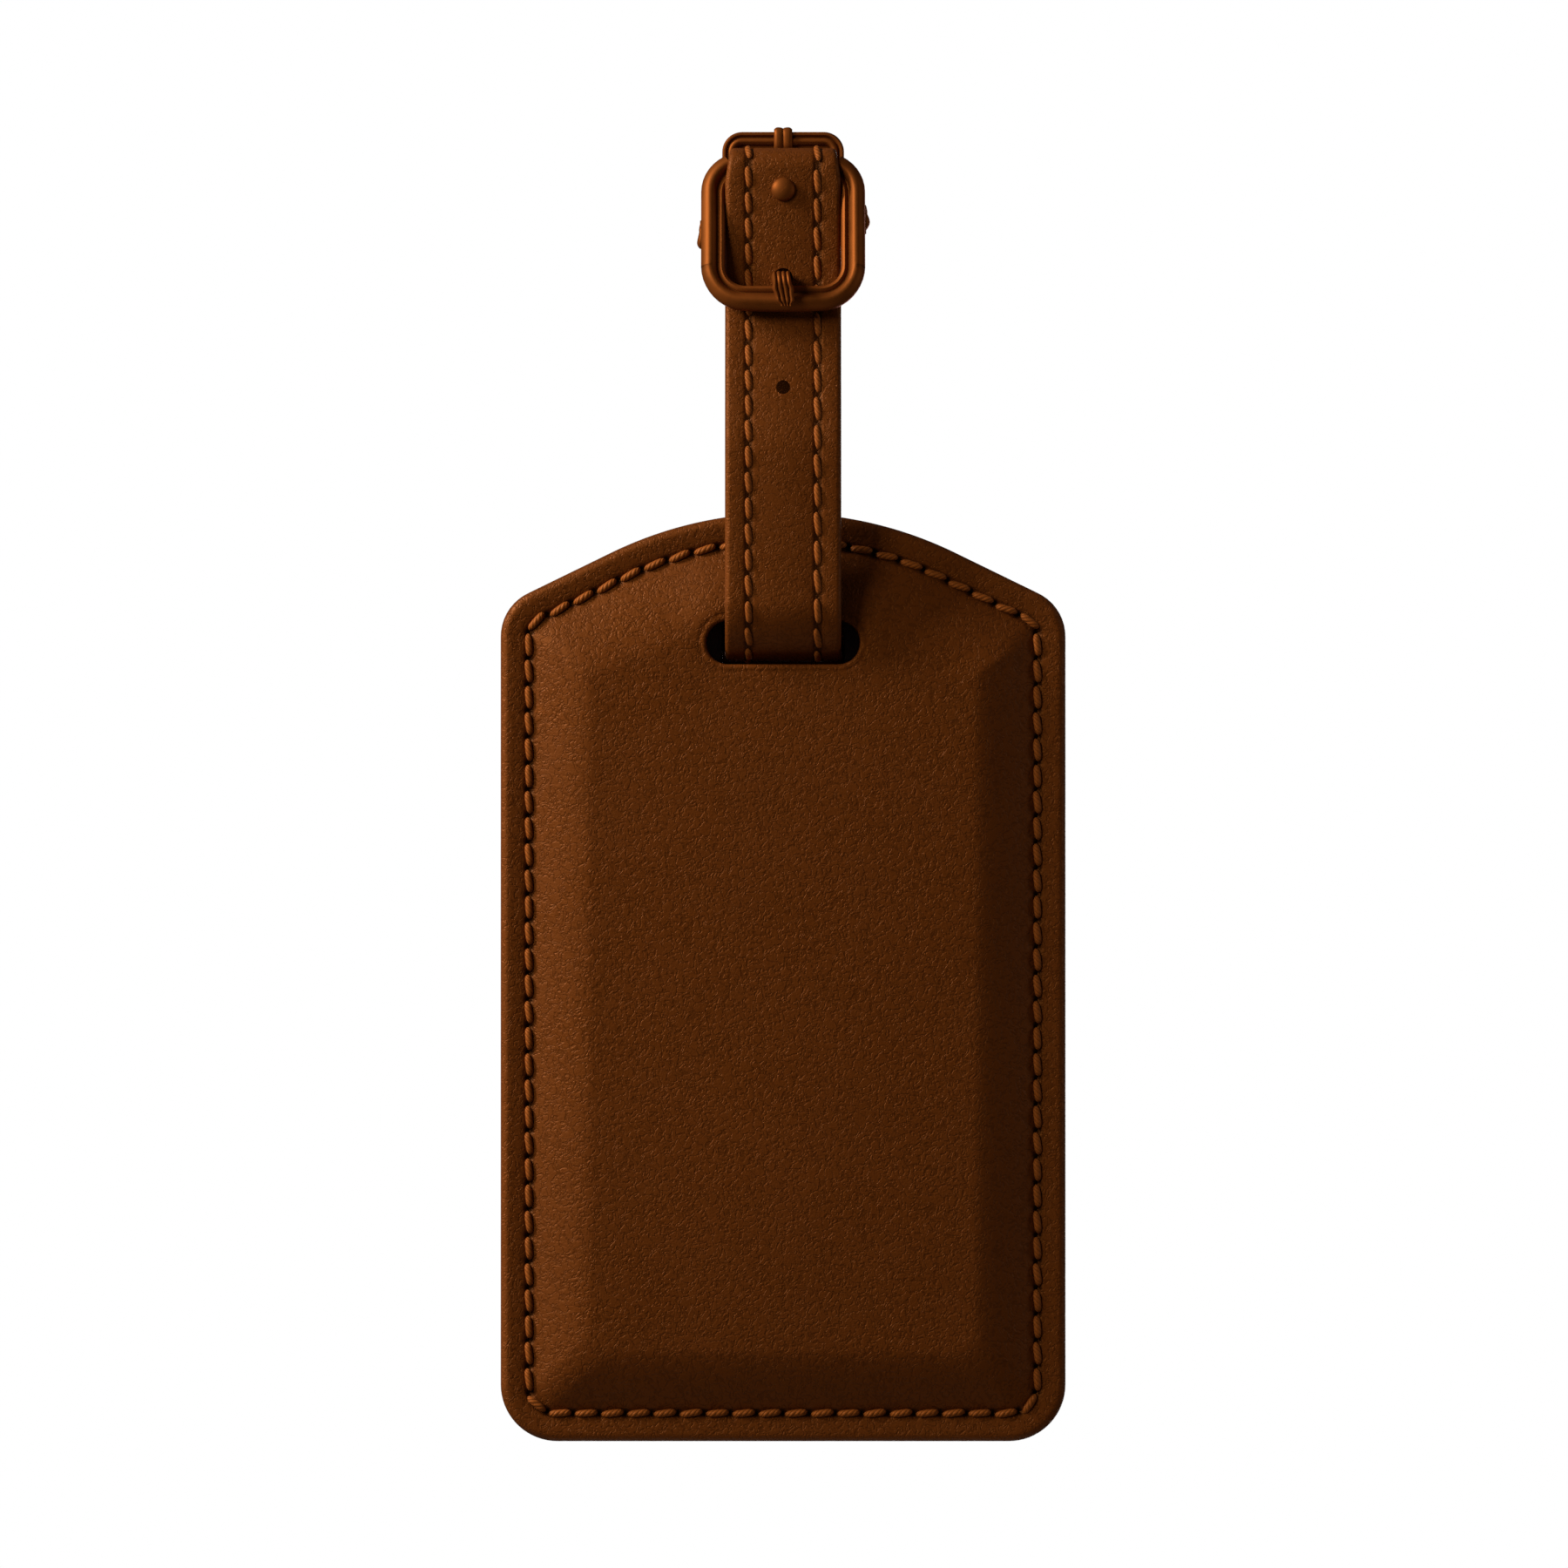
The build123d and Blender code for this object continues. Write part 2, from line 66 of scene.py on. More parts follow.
PANEL_LOW, PANEL_HIGH = mm_box("front_panel")
BOARD_LOW, BOARD_HIGH = mm_box("stiffener_board")
BACK_LOW, BACK_HIGH = mm_box("back_panel")
WELT_LOW, WELT_HIGH = mm_box("pocket_welt")
COVER_LOW, COVER_HIGH = mm_box("window_frame")
SEAM_HIGH = mm_box("front_stitching")[1]
FILM_LOW, FILM_HIGH = mm_box("window_film")
CARD_LOW, CARD_HIGH = mm_box("address_card")
PIN_LOW, PIN_HIGH = mm_box("hinge_pin")
KEEPER_HIGH = mm_box("keeper_loop")[1]
SLEEVE_LOW, SLEEVE_HIGH = mm_box("keeper_ferrule")
STUD_LOW, STUD_HIGH = mm_box("tail_stud")
RIVET_LOW, RIVET_HIGH = mm_box("chape_rivet_cap")

# ---- fixed places of the tag, in millimetres, as the CAD has them ----
TAG_HALF = PANEL_HIGH[0]
TAG_TOP = PANEL_HIGH[2]
TAG_BOTTOM = PANEL_LOW[2]
SWELL = 0.45                    # the foam lifts the leather this much past its plain CAD shape
PAD_Y = PANEL_LOW[1] - SWELL    # front of the padded middle
RIM_Y = SEAM_HIGH[1]            # front of the flat rim
SKIN_BACK = PANEL_HIGH[1]
SKIN = SKIN_BACK - RIM_Y
CROWN_RADIUS = 45.0
CROWN_SLOPE = radians(26)
SLOT_Z = -35.8
SLOT_HALF = 8.8
SLOT_RADIUS = 2.5
INNER_SLOT_HALF = 7.0
POCKET = (-27.4, -122.4, -45.6)  # left side, lower and upper edge of the card pocket
MOUTH_X = 28.4
WINDOW = (-2.4, -84.0, 22.0, 31.0)  # centre x, centre z, half width, half height
PIN_Z = (PIN_LOW[2] + PIN_HIGH[2]) / 2
STRAP_HALF = 6.65
FOLD_HALF = 6.15                # half the strap's width where it folds over the buckle's upper bar
HIDDEN_HALF = 5.4               # and at its two hidden ends
STRAP_SKIN = 1.0
STRAP_SEAM_X = 3.95             # each row of stitches, off the strap's middle
ROUTE_STEP = 0.35
LINING = 0.6
STITCH_COLUMNS = 10             # points along the rim for each stitch
SLOPE_START = 4.1
GROOVE_DEPTH = 0.16             # of the seam's narrow groove, and of the wide one round it
HOLE_DEPTH, HOLE_RADIUS = 0.45, 0.36
# Painted shadow along each side of the seam: its distance off the seam, its width and its strength.
SEAM_SHADOW_OFF, SEAM_SHADOW_REACH, SEAM_SHADOW_SHARE = 0.45, 0.14, 0.45

# Middle of the strap's outer leather from the side, (y, z), and the radius of each of its bends.
STRAP_ROUTE = [
    (0.85, 14.6), (0.85, 20.45), (-3.05, 20.45), (-3.05, 12.0), (-3.4, 2.5), (-6.6, -13.0),
    (-6.6, -37.5), (6.6, -37.5), (6.6, -13.0), (1.6, 2.0), (1.35, 13.25), (-1.35, 13.25),
    (-1.35, 11.0), (0.45, 7.0), (0.45, 1.4),
]
STRAP_BENDS = [1.93, 1.93, 20.0, 18.0, 18.0, 6.58, 6.58, 18.0, 12.0, 1.33, 1.33, 1.0, 2.0]
LINING_END = (2.333, -0.2)
SPARE_HOLE_Z, SPARE_HOLE_RADIUS = -6.6, 0.8
PRONG_HOLE_Z, PRONG_HOLE_RADIUS = 5.9, 1.1

# The buckle frame's own plane leans back from its lower bar.
FRAME_LEAN = radians(15.4)
FRAME_REST = Vector((0, -5.85, 3.5))
FRAME_ACROSS = Vector((1, 0, 0))
FRAME_UP = Vector((0, sin(FRAME_LEAN), cos(FRAME_LEAN)))
FRAME_OUT = Vector((0, -cos(FRAME_LEAN), sin(FRAME_LEAN)))
SEAT_Y, SEAT_Z, SEAT_RADIUS, SEAT_HALF = -1.1, 18.5, 0.78, 6.9


# ---- what a user would change ----
class TagLook(bpy.types.PropertyGroup):
    leather: FloatVectorProperty(
        name="Leather", description="Dyed colour of the leather", subtype="COLOR",
        size=3, min=0, max=1, default=(0.120, 0.0285, 0.0036))
    thread: FloatVectorProperty(
        name="Thread", description="Colour of the waxed thread", subtype="COLOR",
        size=3, min=0, max=1, default=(0.27, 0.066, 0.0085))
    metal: FloatVectorProperty(
        name="Metal", description="Colour of the buckle, pin, studs and keeper", subtype="COLOR",
        size=3, min=0, max=1, default=(0.205, 0.052, 0.008))
    grain_size: FloatProperty(
        name="Grain", description="Width of one wrinkle in the leather", unit="LENGTH",
        min=0.0002, max=0.005, default=0.00055)
    stitch_pitch: FloatProperty(
        name="Seam pitch", description="Length of one stitch and its hole round the tag",
        unit="LENGTH", min=0.002, max=0.006, default=0.0030)
    stitch_width: FloatProperty(
        name="Thread width", description="Width of a stitch lying on the leather", unit="LENGTH",
        min=0.0004, max=0.002, default=0.00088)
    seam_inset: FloatProperty(
        name="Seam inset", description="How far the seam lies in from the rim", unit="LENGTH",
        min=0.001, max=0.01, default=0.00325)
    slope_end: FloatProperty(
        name="Padding slope", description="How far in from the rim the padding reaches full height",
        unit="LENGTH", min=0.006, max=0.0112, default=0.0107)
    rim_round: FloatProperty(
        name="Rim rounding", description="Radius of the rim's front edge", unit="LENGTH",
        min=0.0001, max=0.0011, default=0.0009)
    ridges: IntProperty(
        name="Ridges", description="Ridges along the prong's tip",
        min=1, max=5, default=4)


# ---- helpers for shapes ----
def unit(value):
    """Hold a value between 0 and 1."""
    return min(1.0, max(0.0, value))


def bell(distance, reach):
    """1 at no distance, fading to nothing over about twice the reach."""
    return exp(-(distance / reach) ** 2)


def deselect():
    if bpy.context.mode != "OBJECT":
        bpy.ops.object.mode_set(mode="OBJECT")
    bpy.ops.object.select_all(action="DESELECT")


def make_piece(name, points, faces):
    """A mesh object from points in millimetres, with its place in its mesh."""
    mesh = bpy.data.meshes.new(name)
    mesh.from_pydata([tuple(value * MM for value in point) for point in points], [], faces)
    piece = bpy.data.objects.new(name, mesh)
    bpy.context.scene.collection.objects.link(piece)
    return piece


def face_outwards(piece):
    """Merge doubled points and turn every face outwards."""
    work = bmesh.new()
    work.from_mesh(piece.data)
    bmesh.ops.remove_doubles(work, verts=work.verts, dist=1e-7)
    bmesh.ops.recalc_face_normals(work, faces=work.faces)
    work.to_mesh(piece.data)
    work.free()


def smooth(piece, angle=35):
    deselect()
    piece.select_set(True)
    bpy.context.view_layer.objects.active = piece
    bpy.ops.object.shade_smooth_by_angle(angle=radians(angle))
    piece.select_set(False)


def finish_piece(piece, body, replaced, material):
    """Give a piece its finish, its body and the CAD nodes that it stands for."""
    piece.data.materials.clear()
    piece.data.materials.append(material)
    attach(piece, body)
    if replaced:
        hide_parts(*replaced)


def join_parts(parts, into):
    """Make several objects one, which keeps the name of into."""
    deselect()
    for part in parts:
        part.select_set(True)
    bpy.context.view_layer.objects.active = into
    bpy.ops.object.join()


def paint_seam_shade(piece, values):
    """Write how much painted shade each point gets, in the needle holes and along the seams, for
    the leather's finish to read.
    """
    marks = piece.data.attributes.new("needle", "FLOAT", "POINT")
    for number, value in enumerate(values):
        marks.data[number].value = value


def end_faces(rings, count):
    """The two faces that close a run of rings of count points."""
    return [tuple(range(count)), tuple(reversed(range((rings - 1) * count, rings * count)))]


def ring_faces(first, second, count):
    """Quads between two rings of count points that start at the given numbers."""
    return [(first + n, first + (n + 1) % count, second + (n + 1) % count, second + n)
            for n in range(count)]


def layer_from_rings(name, ring_sets):
    """A closed layer: each set of rings goes from the front face over an edge to the back face,
    and the flat faces between the sets' first rings, and between their last, are filled."""
    points, faces, fronts, backs = [], [], [], []
    for rings in ring_sets:
        starts = []
        for ring in rings:
            starts.append(len(points))
            points += ring
        count = len(rings[0])
        for first, second in zip(starts, starts[1:]):
            faces += ring_faces(first, second, count)
        fronts.append((starts[0], count))
        backs.append((starts[-1], count))
    piece = make_piece(name, points, faces)
    work = bmesh.new()
    work.from_mesh(piece.data)
    work.verts.ensure_lookup_table()
    for loops in (fronts, backs):
        edges = []
        for start, count in loops:
            for n in range(count):
                pair = (work.verts[start + n], work.verts[start + (n + 1) % count])
                edges.append(work.edges.get(pair))
        bmesh.ops.triangle_fill(work, use_beauty=True, use_dissolve=False, edges=edges)
    bmesh.ops.recalc_face_normals(work, faces=work.faces)
    work.to_mesh(piece.data)
    work.free()
    return piece


def offset_loop(loop, away):
    """A closed loop of (x, z) points moved sideways to its left by away."""
    moved = []
    count = len(loop)
    for n in range(count):
        before = Vector(loop[n]) - Vector(loop[n - 1])
        after = Vector(loop[(n + 1) % count]) - Vector(loop[n])
        run = before.normalized() + after.normalized()
        if run.length < 1e-6:
            run = after
        run.normalize()
        moved.append((loop[n][0] - run.y * away, loop[n][1] + run.x * away))
    return moved


def edge_rings(loop, front, back, radius, steps=3):
    """Rings over a rounded edge. The loop runs with the leather on its left."""
    rings = []
    for n in range(steps + 1):
        turn = pi / 2 * n / steps
        inward = radius * (1 - sin(turn))
        rings.append([(x, front + radius * (1 - cos(turn)), z)
                      for x, z in offset_loop(loop, inward)])
    for n in range(steps + 1):
        turn = pi / 2 * n / steps
        inward = radius * (1 - cos(turn))
        rings.append([(x, back - radius * (1 - sin(turn)), z)
                      for x, z in offset_loop(loop, inward)])
    return rings


# ---- the tag's outline ----
def half_outline(inset):
    """Right half of the outline from the bottom's middle to the top's, set in from the rim."""
    half = TAG_HALF - inset
    low = TAG_BOTTOM + inset
    foot = max(6.5 - inset, 2.6)
    shoulder = max(5.5 - inset, 2.2)
    crown = CROWN_RADIUS - inset
    centre = TAG_TOP - CROWN_RADIUS
    arc = (crown * sin(CROWN_SLOPE), centre + crown * cos(CROWN_SLOPE))
    corner_z = arc[1] - (half - arc[0]) * tan(CROWN_SLOPE)
    turn = pi / 2 - CROWN_SLOPE
    side_top = corner_z - shoulder * tan(turn / 2)
    arc_end = (half - shoulder + shoulder * cos(turn), side_top + shoulder * sin(turn))
    return [
        ("line", (0, low), (half - foot, low)),
        ("arc", (half - foot, low + foot), foot, -pi / 2, 0),
        ("line", (half, low + foot), (half, side_top)),
        ("arc", (half - shoulder, side_top), shoulder, 0, turn),
        ("line", arc_end, arc),
        ("arc", (0, centre), crown, turn, pi / 2),
    ]


def stretch_length(stretch):
    if stretch[0] == "line":
        return (Vector(stretch[2]) - Vector(stretch[1])).length
    return stretch[2] * (stretch[4] - stretch[3])


def stretch_point(stretch, share):
    if stretch[0] == "line":
        return tuple(Vector(stretch[1]).lerp(Vector(stretch[2]), share))
    turn = stretch[3] + (stretch[4] - stretch[3]) * share
    return (stretch[1][0] + stretch[2] * cos(turn), stretch[1][1] + stretch[2] * sin(turn))


def outline_stations(count, inset):
    """Places evenly spaced along the outline at an inset, as (side, stretch number, share)."""
    stretches = half_outline(inset)
    lengths = [stretch_length(stretch) for stretch in stretches]
    half = sum(lengths)
    stations = []
    for n in range(count):
        along = 2 * half * n / count
        side = 1 if along <= half else -1
        along = along if side == 1 else 2 * half - along
        number = 0
        while number < len(lengths) - 1 and along > lengths[number]:
            along -= lengths[number]
            number += 1
        stations.append((side, number, min(along / lengths[number], 1.0)))
    return stations, 2 * half


def outline_loop(inset, stations):
    stretches = half_outline(inset)
    loop = []
    for side, number, share in stations:
        x, z = stretch_point(stretches[number], share)
        loop.append((side * x, z))
    return loop


def drawn_loop(inset, stations, draws):
    """The outline at an inset that grows faster at some stations, past the foot of the slope."""
    loop = []
    for (side, number, share), draw in zip(stations, draws):
        reach = SLOPE_START + (inset - SLOPE_START) * draw if inset > SLOPE_START else inset
        x, z = stretch_point(half_outline(reach)[number], share)
        loop.append((side * x, z))
    return loop


def stadium_loop(outset, count=96):
    """The face's slot, let out by outset, run so that the leather is on its left."""
    radius = SLOT_RADIUS + outset
    straight = SLOT_HALF - SLOT_RADIUS
    total = 4 * straight + 2 * pi * radius
    loop = []
    for n in range(count):
        along = total * n / count
        if along < 2 * straight:
            spot = (-straight + along, SLOT_Z + radius)
        elif along < 2 * straight + pi * radius:
            turn = pi / 2 - (along - 2 * straight) / radius
            spot = (straight + radius * cos(turn), SLOT_Z + radius * sin(turn))
        elif along < 4 * straight + pi * radius:
            spot = (straight - (along - 2 * straight - pi * radius), SLOT_Z - radius)
        else:
            turn = -pi / 2 - (along - 4 * straight - pi * radius) / radius
            spot = (-straight + radius * cos(turn), SLOT_Z + radius * sin(turn))
        loop.append(spot)
    return loop


def box_loop(x, z, half_x, half_z, radius, per_corner=6, per_side=12):
    """A rounded rectangle's loop with the leather outside it, on its left."""
    loop = []
    for quarter in range(4):
        turn = pi / 2 - quarter * pi / 2
        corner = ((1, 1), (1, -1), (-1, -1), (-1, 1))[quarter]
        centre = (x + corner[0] * (half_x - radius), z + corner[1] * (half_z - radius))
        for n in range(per_corner + 1):
            angle = turn - pi / 2 * n / per_corner
            loop.append((centre[0] + radius * cos(angle), centre[1] + radius * sin(angle)))
        following = ((1, -1), (-1, -1), (-1, 1), (1, 1))[quarter]
        end = Vector(loop[-1])
        angle = turn - pi / 2
        goal = Vector((x + following[0] * (half_x - radius) + radius * cos(angle),
                       z + following[1] * (half_z - radius) + radius * sin(angle)))
        for n in range(1, per_side):
            loop.append(tuple(end.lerp(goal, n / per_side)))
    return loop


# ---- the strap's route ----
def rounded_route(route, bends, step):
    """The route as close points with its corners rounded: (place, run) pairs in (y, z)."""
    spots = [Vector(spot) for spot in route]
    pieces = []
    start = spots[0]
    for number, radius in enumerate(bends):
        corner, after = spots[number + 1], spots[number + 2]
        run, next_run = (corner - start).normalized(), (after - corner).normalized()
        turn = run.angle_signed(next_run)
        cut = radius * tan(abs(turn) / 2)
        arc_start, arc_end = corner - run * cut, corner + next_run * cut
        pieces.append(("line", start, arc_start, run))
        side = Vector((-run.y, run.x)) * (1 if turn < 0 else -1)
        pieces.append(("arc", arc_start + side * radius, arc_start, -turn))
        start = arc_end
    pieces.append(("line", start, spots[-1], (spots[-1] - start).normalized()))
    places = []
    for piece in pieces:
        if piece[0] == "line":
            length = (piece[2] - piece[1]).length
            count = max(1, ceil(length / step))
            if length < 1e-4:
                continue
            for n in range(count):
                places.append((piece[1].lerp(piece[2], n / count), piece[3]))
        else:
            arm, turn = piece[2] - piece[1], piece[3]
            count = max(2, ceil(max(abs(turn) * arm.length / step, abs(turn) / radians(9))))
            for n in range(count):
                spin = Matrix.Rotation(turn * n / count, 2)
                now = spin @ arm
                run = Vector((-now.y, now.x)).normalized() * (1 if turn > 0 else -1)
                places.append((piece[1] + now, run))
    places.append((pieces[-1][2], pieces[-1][3]))
    return places


def out_of(run):
    """Away from the inside of the strap's loop."""
    return Vector((run.y, -run.x))


def run_lengths(places):
    lengths = [0.0]
    for (a, _), (b, _) in zip(places, places[1:]):
        lengths.append(lengths[-1] + (b - a).length)
    return lengths


def tube(path, radius, around=16):
    """Points and faces of a round bar along a short path of (x, y, z)."""
    spots = [Vector(spot) for spot in path]
    points, faces = [], []
    for number, spot in enumerate(spots):
        run = (spots[min(number + 1, len(spots) - 1)] - spots[max(number - 1, 0)]).normalized()
        side = Vector((1, 0, 0))
        other = run.cross(side).normalized()
        side = other.cross(run)
        for n in range(around):
            turn = 2 * pi * n / around
            points.append(tuple(spot + side * radius * cos(turn) + other * radius * sin(turn)))
        if number:
            faces += ring_faces((number - 1) * around, number * around, around)
    return points, faces + end_faces(len(spots), around)


def sweep(name, places, section_at):
    """A closed solid swept along places. section_at(number) gives its points as (x, out)."""
    points, faces = [], []
    count = len(section_at(0))
    for number, (spot, run) in enumerate(places):
        out = out_of(run)
        for x, away in section_at(number):
            points.append((x, spot.x + out.x * away, spot.y + out.y * away))
        if number:
            faces += ring_faces((number - 1) * count, number * count, count)
    piece = make_piece(name, points, faces + end_faces(len(places), count))
    face_outwards(piece)
    return piece


# ---- node helpers ----
def node(tree, kind, place, **settings):
    made = tree.nodes.new(kind)
    made.location = place
    for key, value in settings.items():
        setattr(made, key, value)
    return made


def connect(tree, socket, value):
    """Give a socket a constant, or link another socket to it."""
    if isinstance(value, (int, float, tuple)):
        socket.default_value = value
    else:
        tree.links.new(value, socket)


def new_group(name, inputs, outputs):
    """A shader node group with named sockets: (socket name, kind, default) and (name, kind)."""
    group = bpy.data.node_groups.new(name, "ShaderNodeTree")
    for label, kind, default in inputs:
        socket = group.interface.new_socket(label, in_out="INPUT", socket_type=kind)
        if default is not None:
            socket.default_value = default
    for label, kind in outputs:
        group.interface.new_socket(label, in_out="OUTPUT", socket_type=kind)
    return group, node(group, "NodeGroupInput", (-900, 0)), node(group, "NodeGroupOutput", (900, 0))


def math_node(tree, operation, place, *values):
    """A Math node whose inputs are numbers or sockets."""
    made = node(tree, "ShaderNodeMath", place, operation=operation)
    for number, value in enumerate(values):
        connect(tree, made.inputs[number], value)
    return made.outputs[0]


def mix_colour(tree, place, factor, first, second):
    made = node(tree, "ShaderNodeMix", place, data_type="RGBA")
    for number, value in ((0, factor), (6, first), (7, second)):
        connect(tree, made.inputs[number], value)
    return made.outputs[2]


def noise(tree, place, vector, scale, detail=2.0):
    """A Noise node whose scale is a number or a socket."""
    made = node(tree, "ShaderNodeTexNoise", place)
    for label, value in (("Vector", vector), ("Scale", scale), ("Detail", detail)):
        connect(tree, made.inputs[label], value)
    return made


def leather_grain_group():
    """Wrinkled grain: crossing creases at one size, pores at a finer one, slow waviness beneath."""
    group, inside, outside = new_group(
        "Leather grain",
        [("Vector", "NodeSocketVector", None), ("Size", "NodeSocketFloat", 0.00055)],
        [("Height", "NodeSocketFloat"), ("Crease", "NodeSocketFloat"),
         ("Mottle", "NodeSocketFloat")])
    scale = math_node(group, "DIVIDE", (-700, -200), 1.0, inside.outputs["Size"])
    warp_scale = math_node(group, "MULTIPLY", (-700, 50), scale, 0.55)
    warp = noise(group, (-600, 150), inside.outputs["Vector"], warp_scale)
    spread = node(group, "ShaderNodeVectorMath", (-420, 150), operation="SCALE")
    group.links.new(warp.outputs["Color"], spread.inputs[0])
    amount = math_node(group, "MULTIPLY", (-600, -60), inside.outputs["Size"], 2.2)
    group.links.new(amount, spread.inputs["Scale"])
    moved = node(group, "ShaderNodeVectorMath", (-260, 120), operation="ADD")
    group.links.new(inside.outputs["Vector"], moved.inputs[0])
    group.links.new(spread.outputs[0], moved.inputs[1])
    worm_scale = math_node(group, "MULTIPLY", (-300, -80), scale, 0.62)
    worms = noise(group, (-80, 160), moved.outputs[0], worm_scale, 1.5)
    worms.inputs["Distortion"].default_value = 0.5
    middle = math_node(group, "SUBTRACT", (60, 260), worms.outputs["Fac"], 0.5)
    away = math_node(group, "ABSOLUTE", (60, 160), middle)
    pillow = node(group, "ShaderNodeMapRange", (180, 160), interpolation_type="SMOOTHSTEP")
    pillow.inputs["From Max"].default_value = 0.075
    group.links.new(away, pillow.inputs["Value"])
    pore_scale = math_node(group, "MULTIPLY", (-300, -220), scale, 1.9)
    pores = noise(group, (-80, -120), moved.outputs[0], pore_scale, 3.0)
    waves = noise(group, (-80, -360), inside.outputs["Vector"], 90.0)
    creases = math_node(group, "MULTIPLY", (300, 160), pillow.outputs["Result"], 0.60)
    fine = math_node(group, "MULTIPLY", (300, -60), pores.outputs["Fac"], 0.75)
    height = math_node(group, "ADD", (480, 80), creases, fine)
    group.links.new(height, outside.inputs["Height"])
    group.links.new(pillow.outputs["Result"], outside.inputs["Crease"])
    group.links.new(waves.outputs["Fac"], outside.inputs["Mottle"])
    return group


def edge_wear_group():
    """A mask for raised edges that rubbing has lightened, broken up by noise, and one for hollows,
    where the metal gets painted shade.
    """
    group, inside, outside = new_group(
        "Edge wear",
        [("Vector", "NodeSocketVector", None), ("Reach", "NodeSocketFloat", 0.08),
         ("Patchiness", "NodeSocketFloat", 600.0)],
        [("Wear", "NodeSocketFloat"), ("Hollow", "NodeSocketFloat")])
    shape = node(group, "ShaderNodeNewGeometry", (-600, 200))
    high = math_node(group, "SUBTRACT", (-400, 240), shape.outputs["Pointiness"], 0.5)
    low = math_node(group, "SUBTRACT", (-400, 60), 0.5, shape.outputs["Pointiness"])
    raised = math_node(group, "DIVIDE", (-220, 240), high, inside.outputs["Reach"])
    sunk = math_node(group, "DIVIDE", (-220, 60), low, inside.outputs["Reach"])
    patches = noise(group, (-400, -150), inside.outputs["Vector"], inside.outputs["Patchiness"])
    broken = math_node(group, "MULTIPLY", (0, 200), raised, patches.outputs["Fac"])
    for value, label, place in ((broken, "Wear", 220), (sunk, "Hollow", 60)):
        held = node(group, "ShaderNodeClamp", (300, place))
        group.links.new(value, held.inputs["Value"])
        group.links.new(held.outputs[0], outside.inputs[label])
    return group


def thread_twist_group():
    """Two plies laid round each other along a stitch, with loose fibres."""
    group, inside, outside = new_group(
        "Thread twist",
        [("UV", "NodeSocketVector", None), ("Vector", "NodeSocketVector", None),
         ("Turns", "NodeSocketFloat", 1.6)],
        [("Height", "NodeSocketFloat"), ("Shade", "NodeSocketFloat")])
    parts = node(group, "ShaderNodeSeparateXYZ", (-650, 150))
    group.links.new(inside.outputs["UV"], parts.inputs[0])
    along = math_node(group, "MULTIPLY", (-470, 60), parts.outputs["Y"], inside.outputs["Turns"])
    total = math_node(group, "ADD", (-300, 120), parts.outputs["X"], along)
    turned = math_node(group, "MULTIPLY", (-140, 120), total, 4 * pi)
    plies = math_node(group, "SINE", (20, 120), turned)
    rounded = math_node(group, "ABSOLUTE", (160, 120), plies)
    fibres = noise(group, (-300, -150), inside.outputs["Vector"], 9000.0)
    little = math_node(group, "MULTIPLY", (0, -120), fibres.outputs["Fac"], 0.35)
    height = math_node(group, "ADD", (330, 60), rounded, little)
    group.links.new(height, outside.inputs["Height"])
    group.links.new(rounded, outside.inputs["Shade"])
    return group


def handling_group():
    """Smears and fine scratches that change how sharply a surface reflects."""
    group, inside, outside = new_group(
        "Handling marks",
        [("Vector", "NodeSocketVector", None), ("Smear Size", "NodeSocketFloat", 220.0)],
        [("Smear", "NodeSocketFloat"), ("Scratch", "NodeSocketFloat")])
    smear = noise(group, (-400, 200), inside.outputs["Vector"], inside.outputs["Smear Size"], 3.0)
    stretch = node(group, "ShaderNodeMapping", (-600, -100))
    stretch.inputs["Scale"].default_value = (3500.0, 3500.0, 260.0)
    stretch.inputs["Rotation"].default_value = (0.5, 0.3, 0.8)
    group.links.new(inside.outputs["Vector"], stretch.inputs["Vector"])
    scratch = noise(group, (-400, -100), stretch.outputs[0], 1.0)
    group.links.new(smear.outputs["Fac"], outside.inputs["Smear"])
    group.links.new(scratch.outputs["Fac"], outside.inputs["Scratch"])
    return group


GROUPS = {}


def shared(name):
    makers = {"grain": leather_grain_group, "wear": edge_wear_group,
              "twist": thread_twist_group, "handling": handling_group}
    if name not in GROUPS:
        GROUPS[name] = makers[name]()
    return GROUPS[name]


def new_material(name):
    material = bpy.data.materials.new(name)
    material.use_nodes = True
    tree = material.node_tree
    tree.nodes.clear()
    output = node(tree, "ShaderNodeOutputMaterial", (900, 0))
    shader = node(tree, "ShaderNodeBsdfPrincipled", (600, 0))
    tree.links.new(shader.outputs[0], output.inputs[0])
    place = node(tree, "ShaderNodeTexCoord", (-1100, 0))
    return material, tree, shader, place


def use_group(tree, name, place, **values):
    made = node(tree, "ShaderNodeGroup", place, node_tree=shared(name))
    for label, value in values.items():
        connect(tree, made.inputs[label.replace("_", " ")], value)
    return made


def shade(colour, factor):
    return tuple(min(1.0, value * factor) for value in colour[:3]) + (1.0,)


def ranged(tree, place, value, low, high, start=0.0, end=1.0):
    """A value that goes from start to end, as one that goes from low to high."""
    made = node(tree, "ShaderNodeMapRange", place)
    tree.links.new(value, made.inputs["Value"])
    for label, number in (("From Min", start), ("From Max", end),
                          ("To Min", low), ("To Max", high)):
        made.inputs[label].default_value = number
    return made.outputs["Result"]


def bump(tree, place, height, distance, strength, before=None):
    made = node(tree, "ShaderNodeBump", place)
    made.inputs["Distance"].default_value = distance
    made.inputs["Strength"].default_value = strength
    tree.links.new(height, made.inputs["Height"])
    if before is not None:
        tree.links.new(before, made.inputs["Normal"])
    return made.outputs["Normal"]


def finish_surface(tree, shader, colour, roughness, normal):
    """Bring a finish's colour, roughness and bump to its shader."""
    for label, value in (("Base Color", colour), ("Roughness", roughness), ("Normal", normal)):
        connect(tree, shader.inputs[label], value)


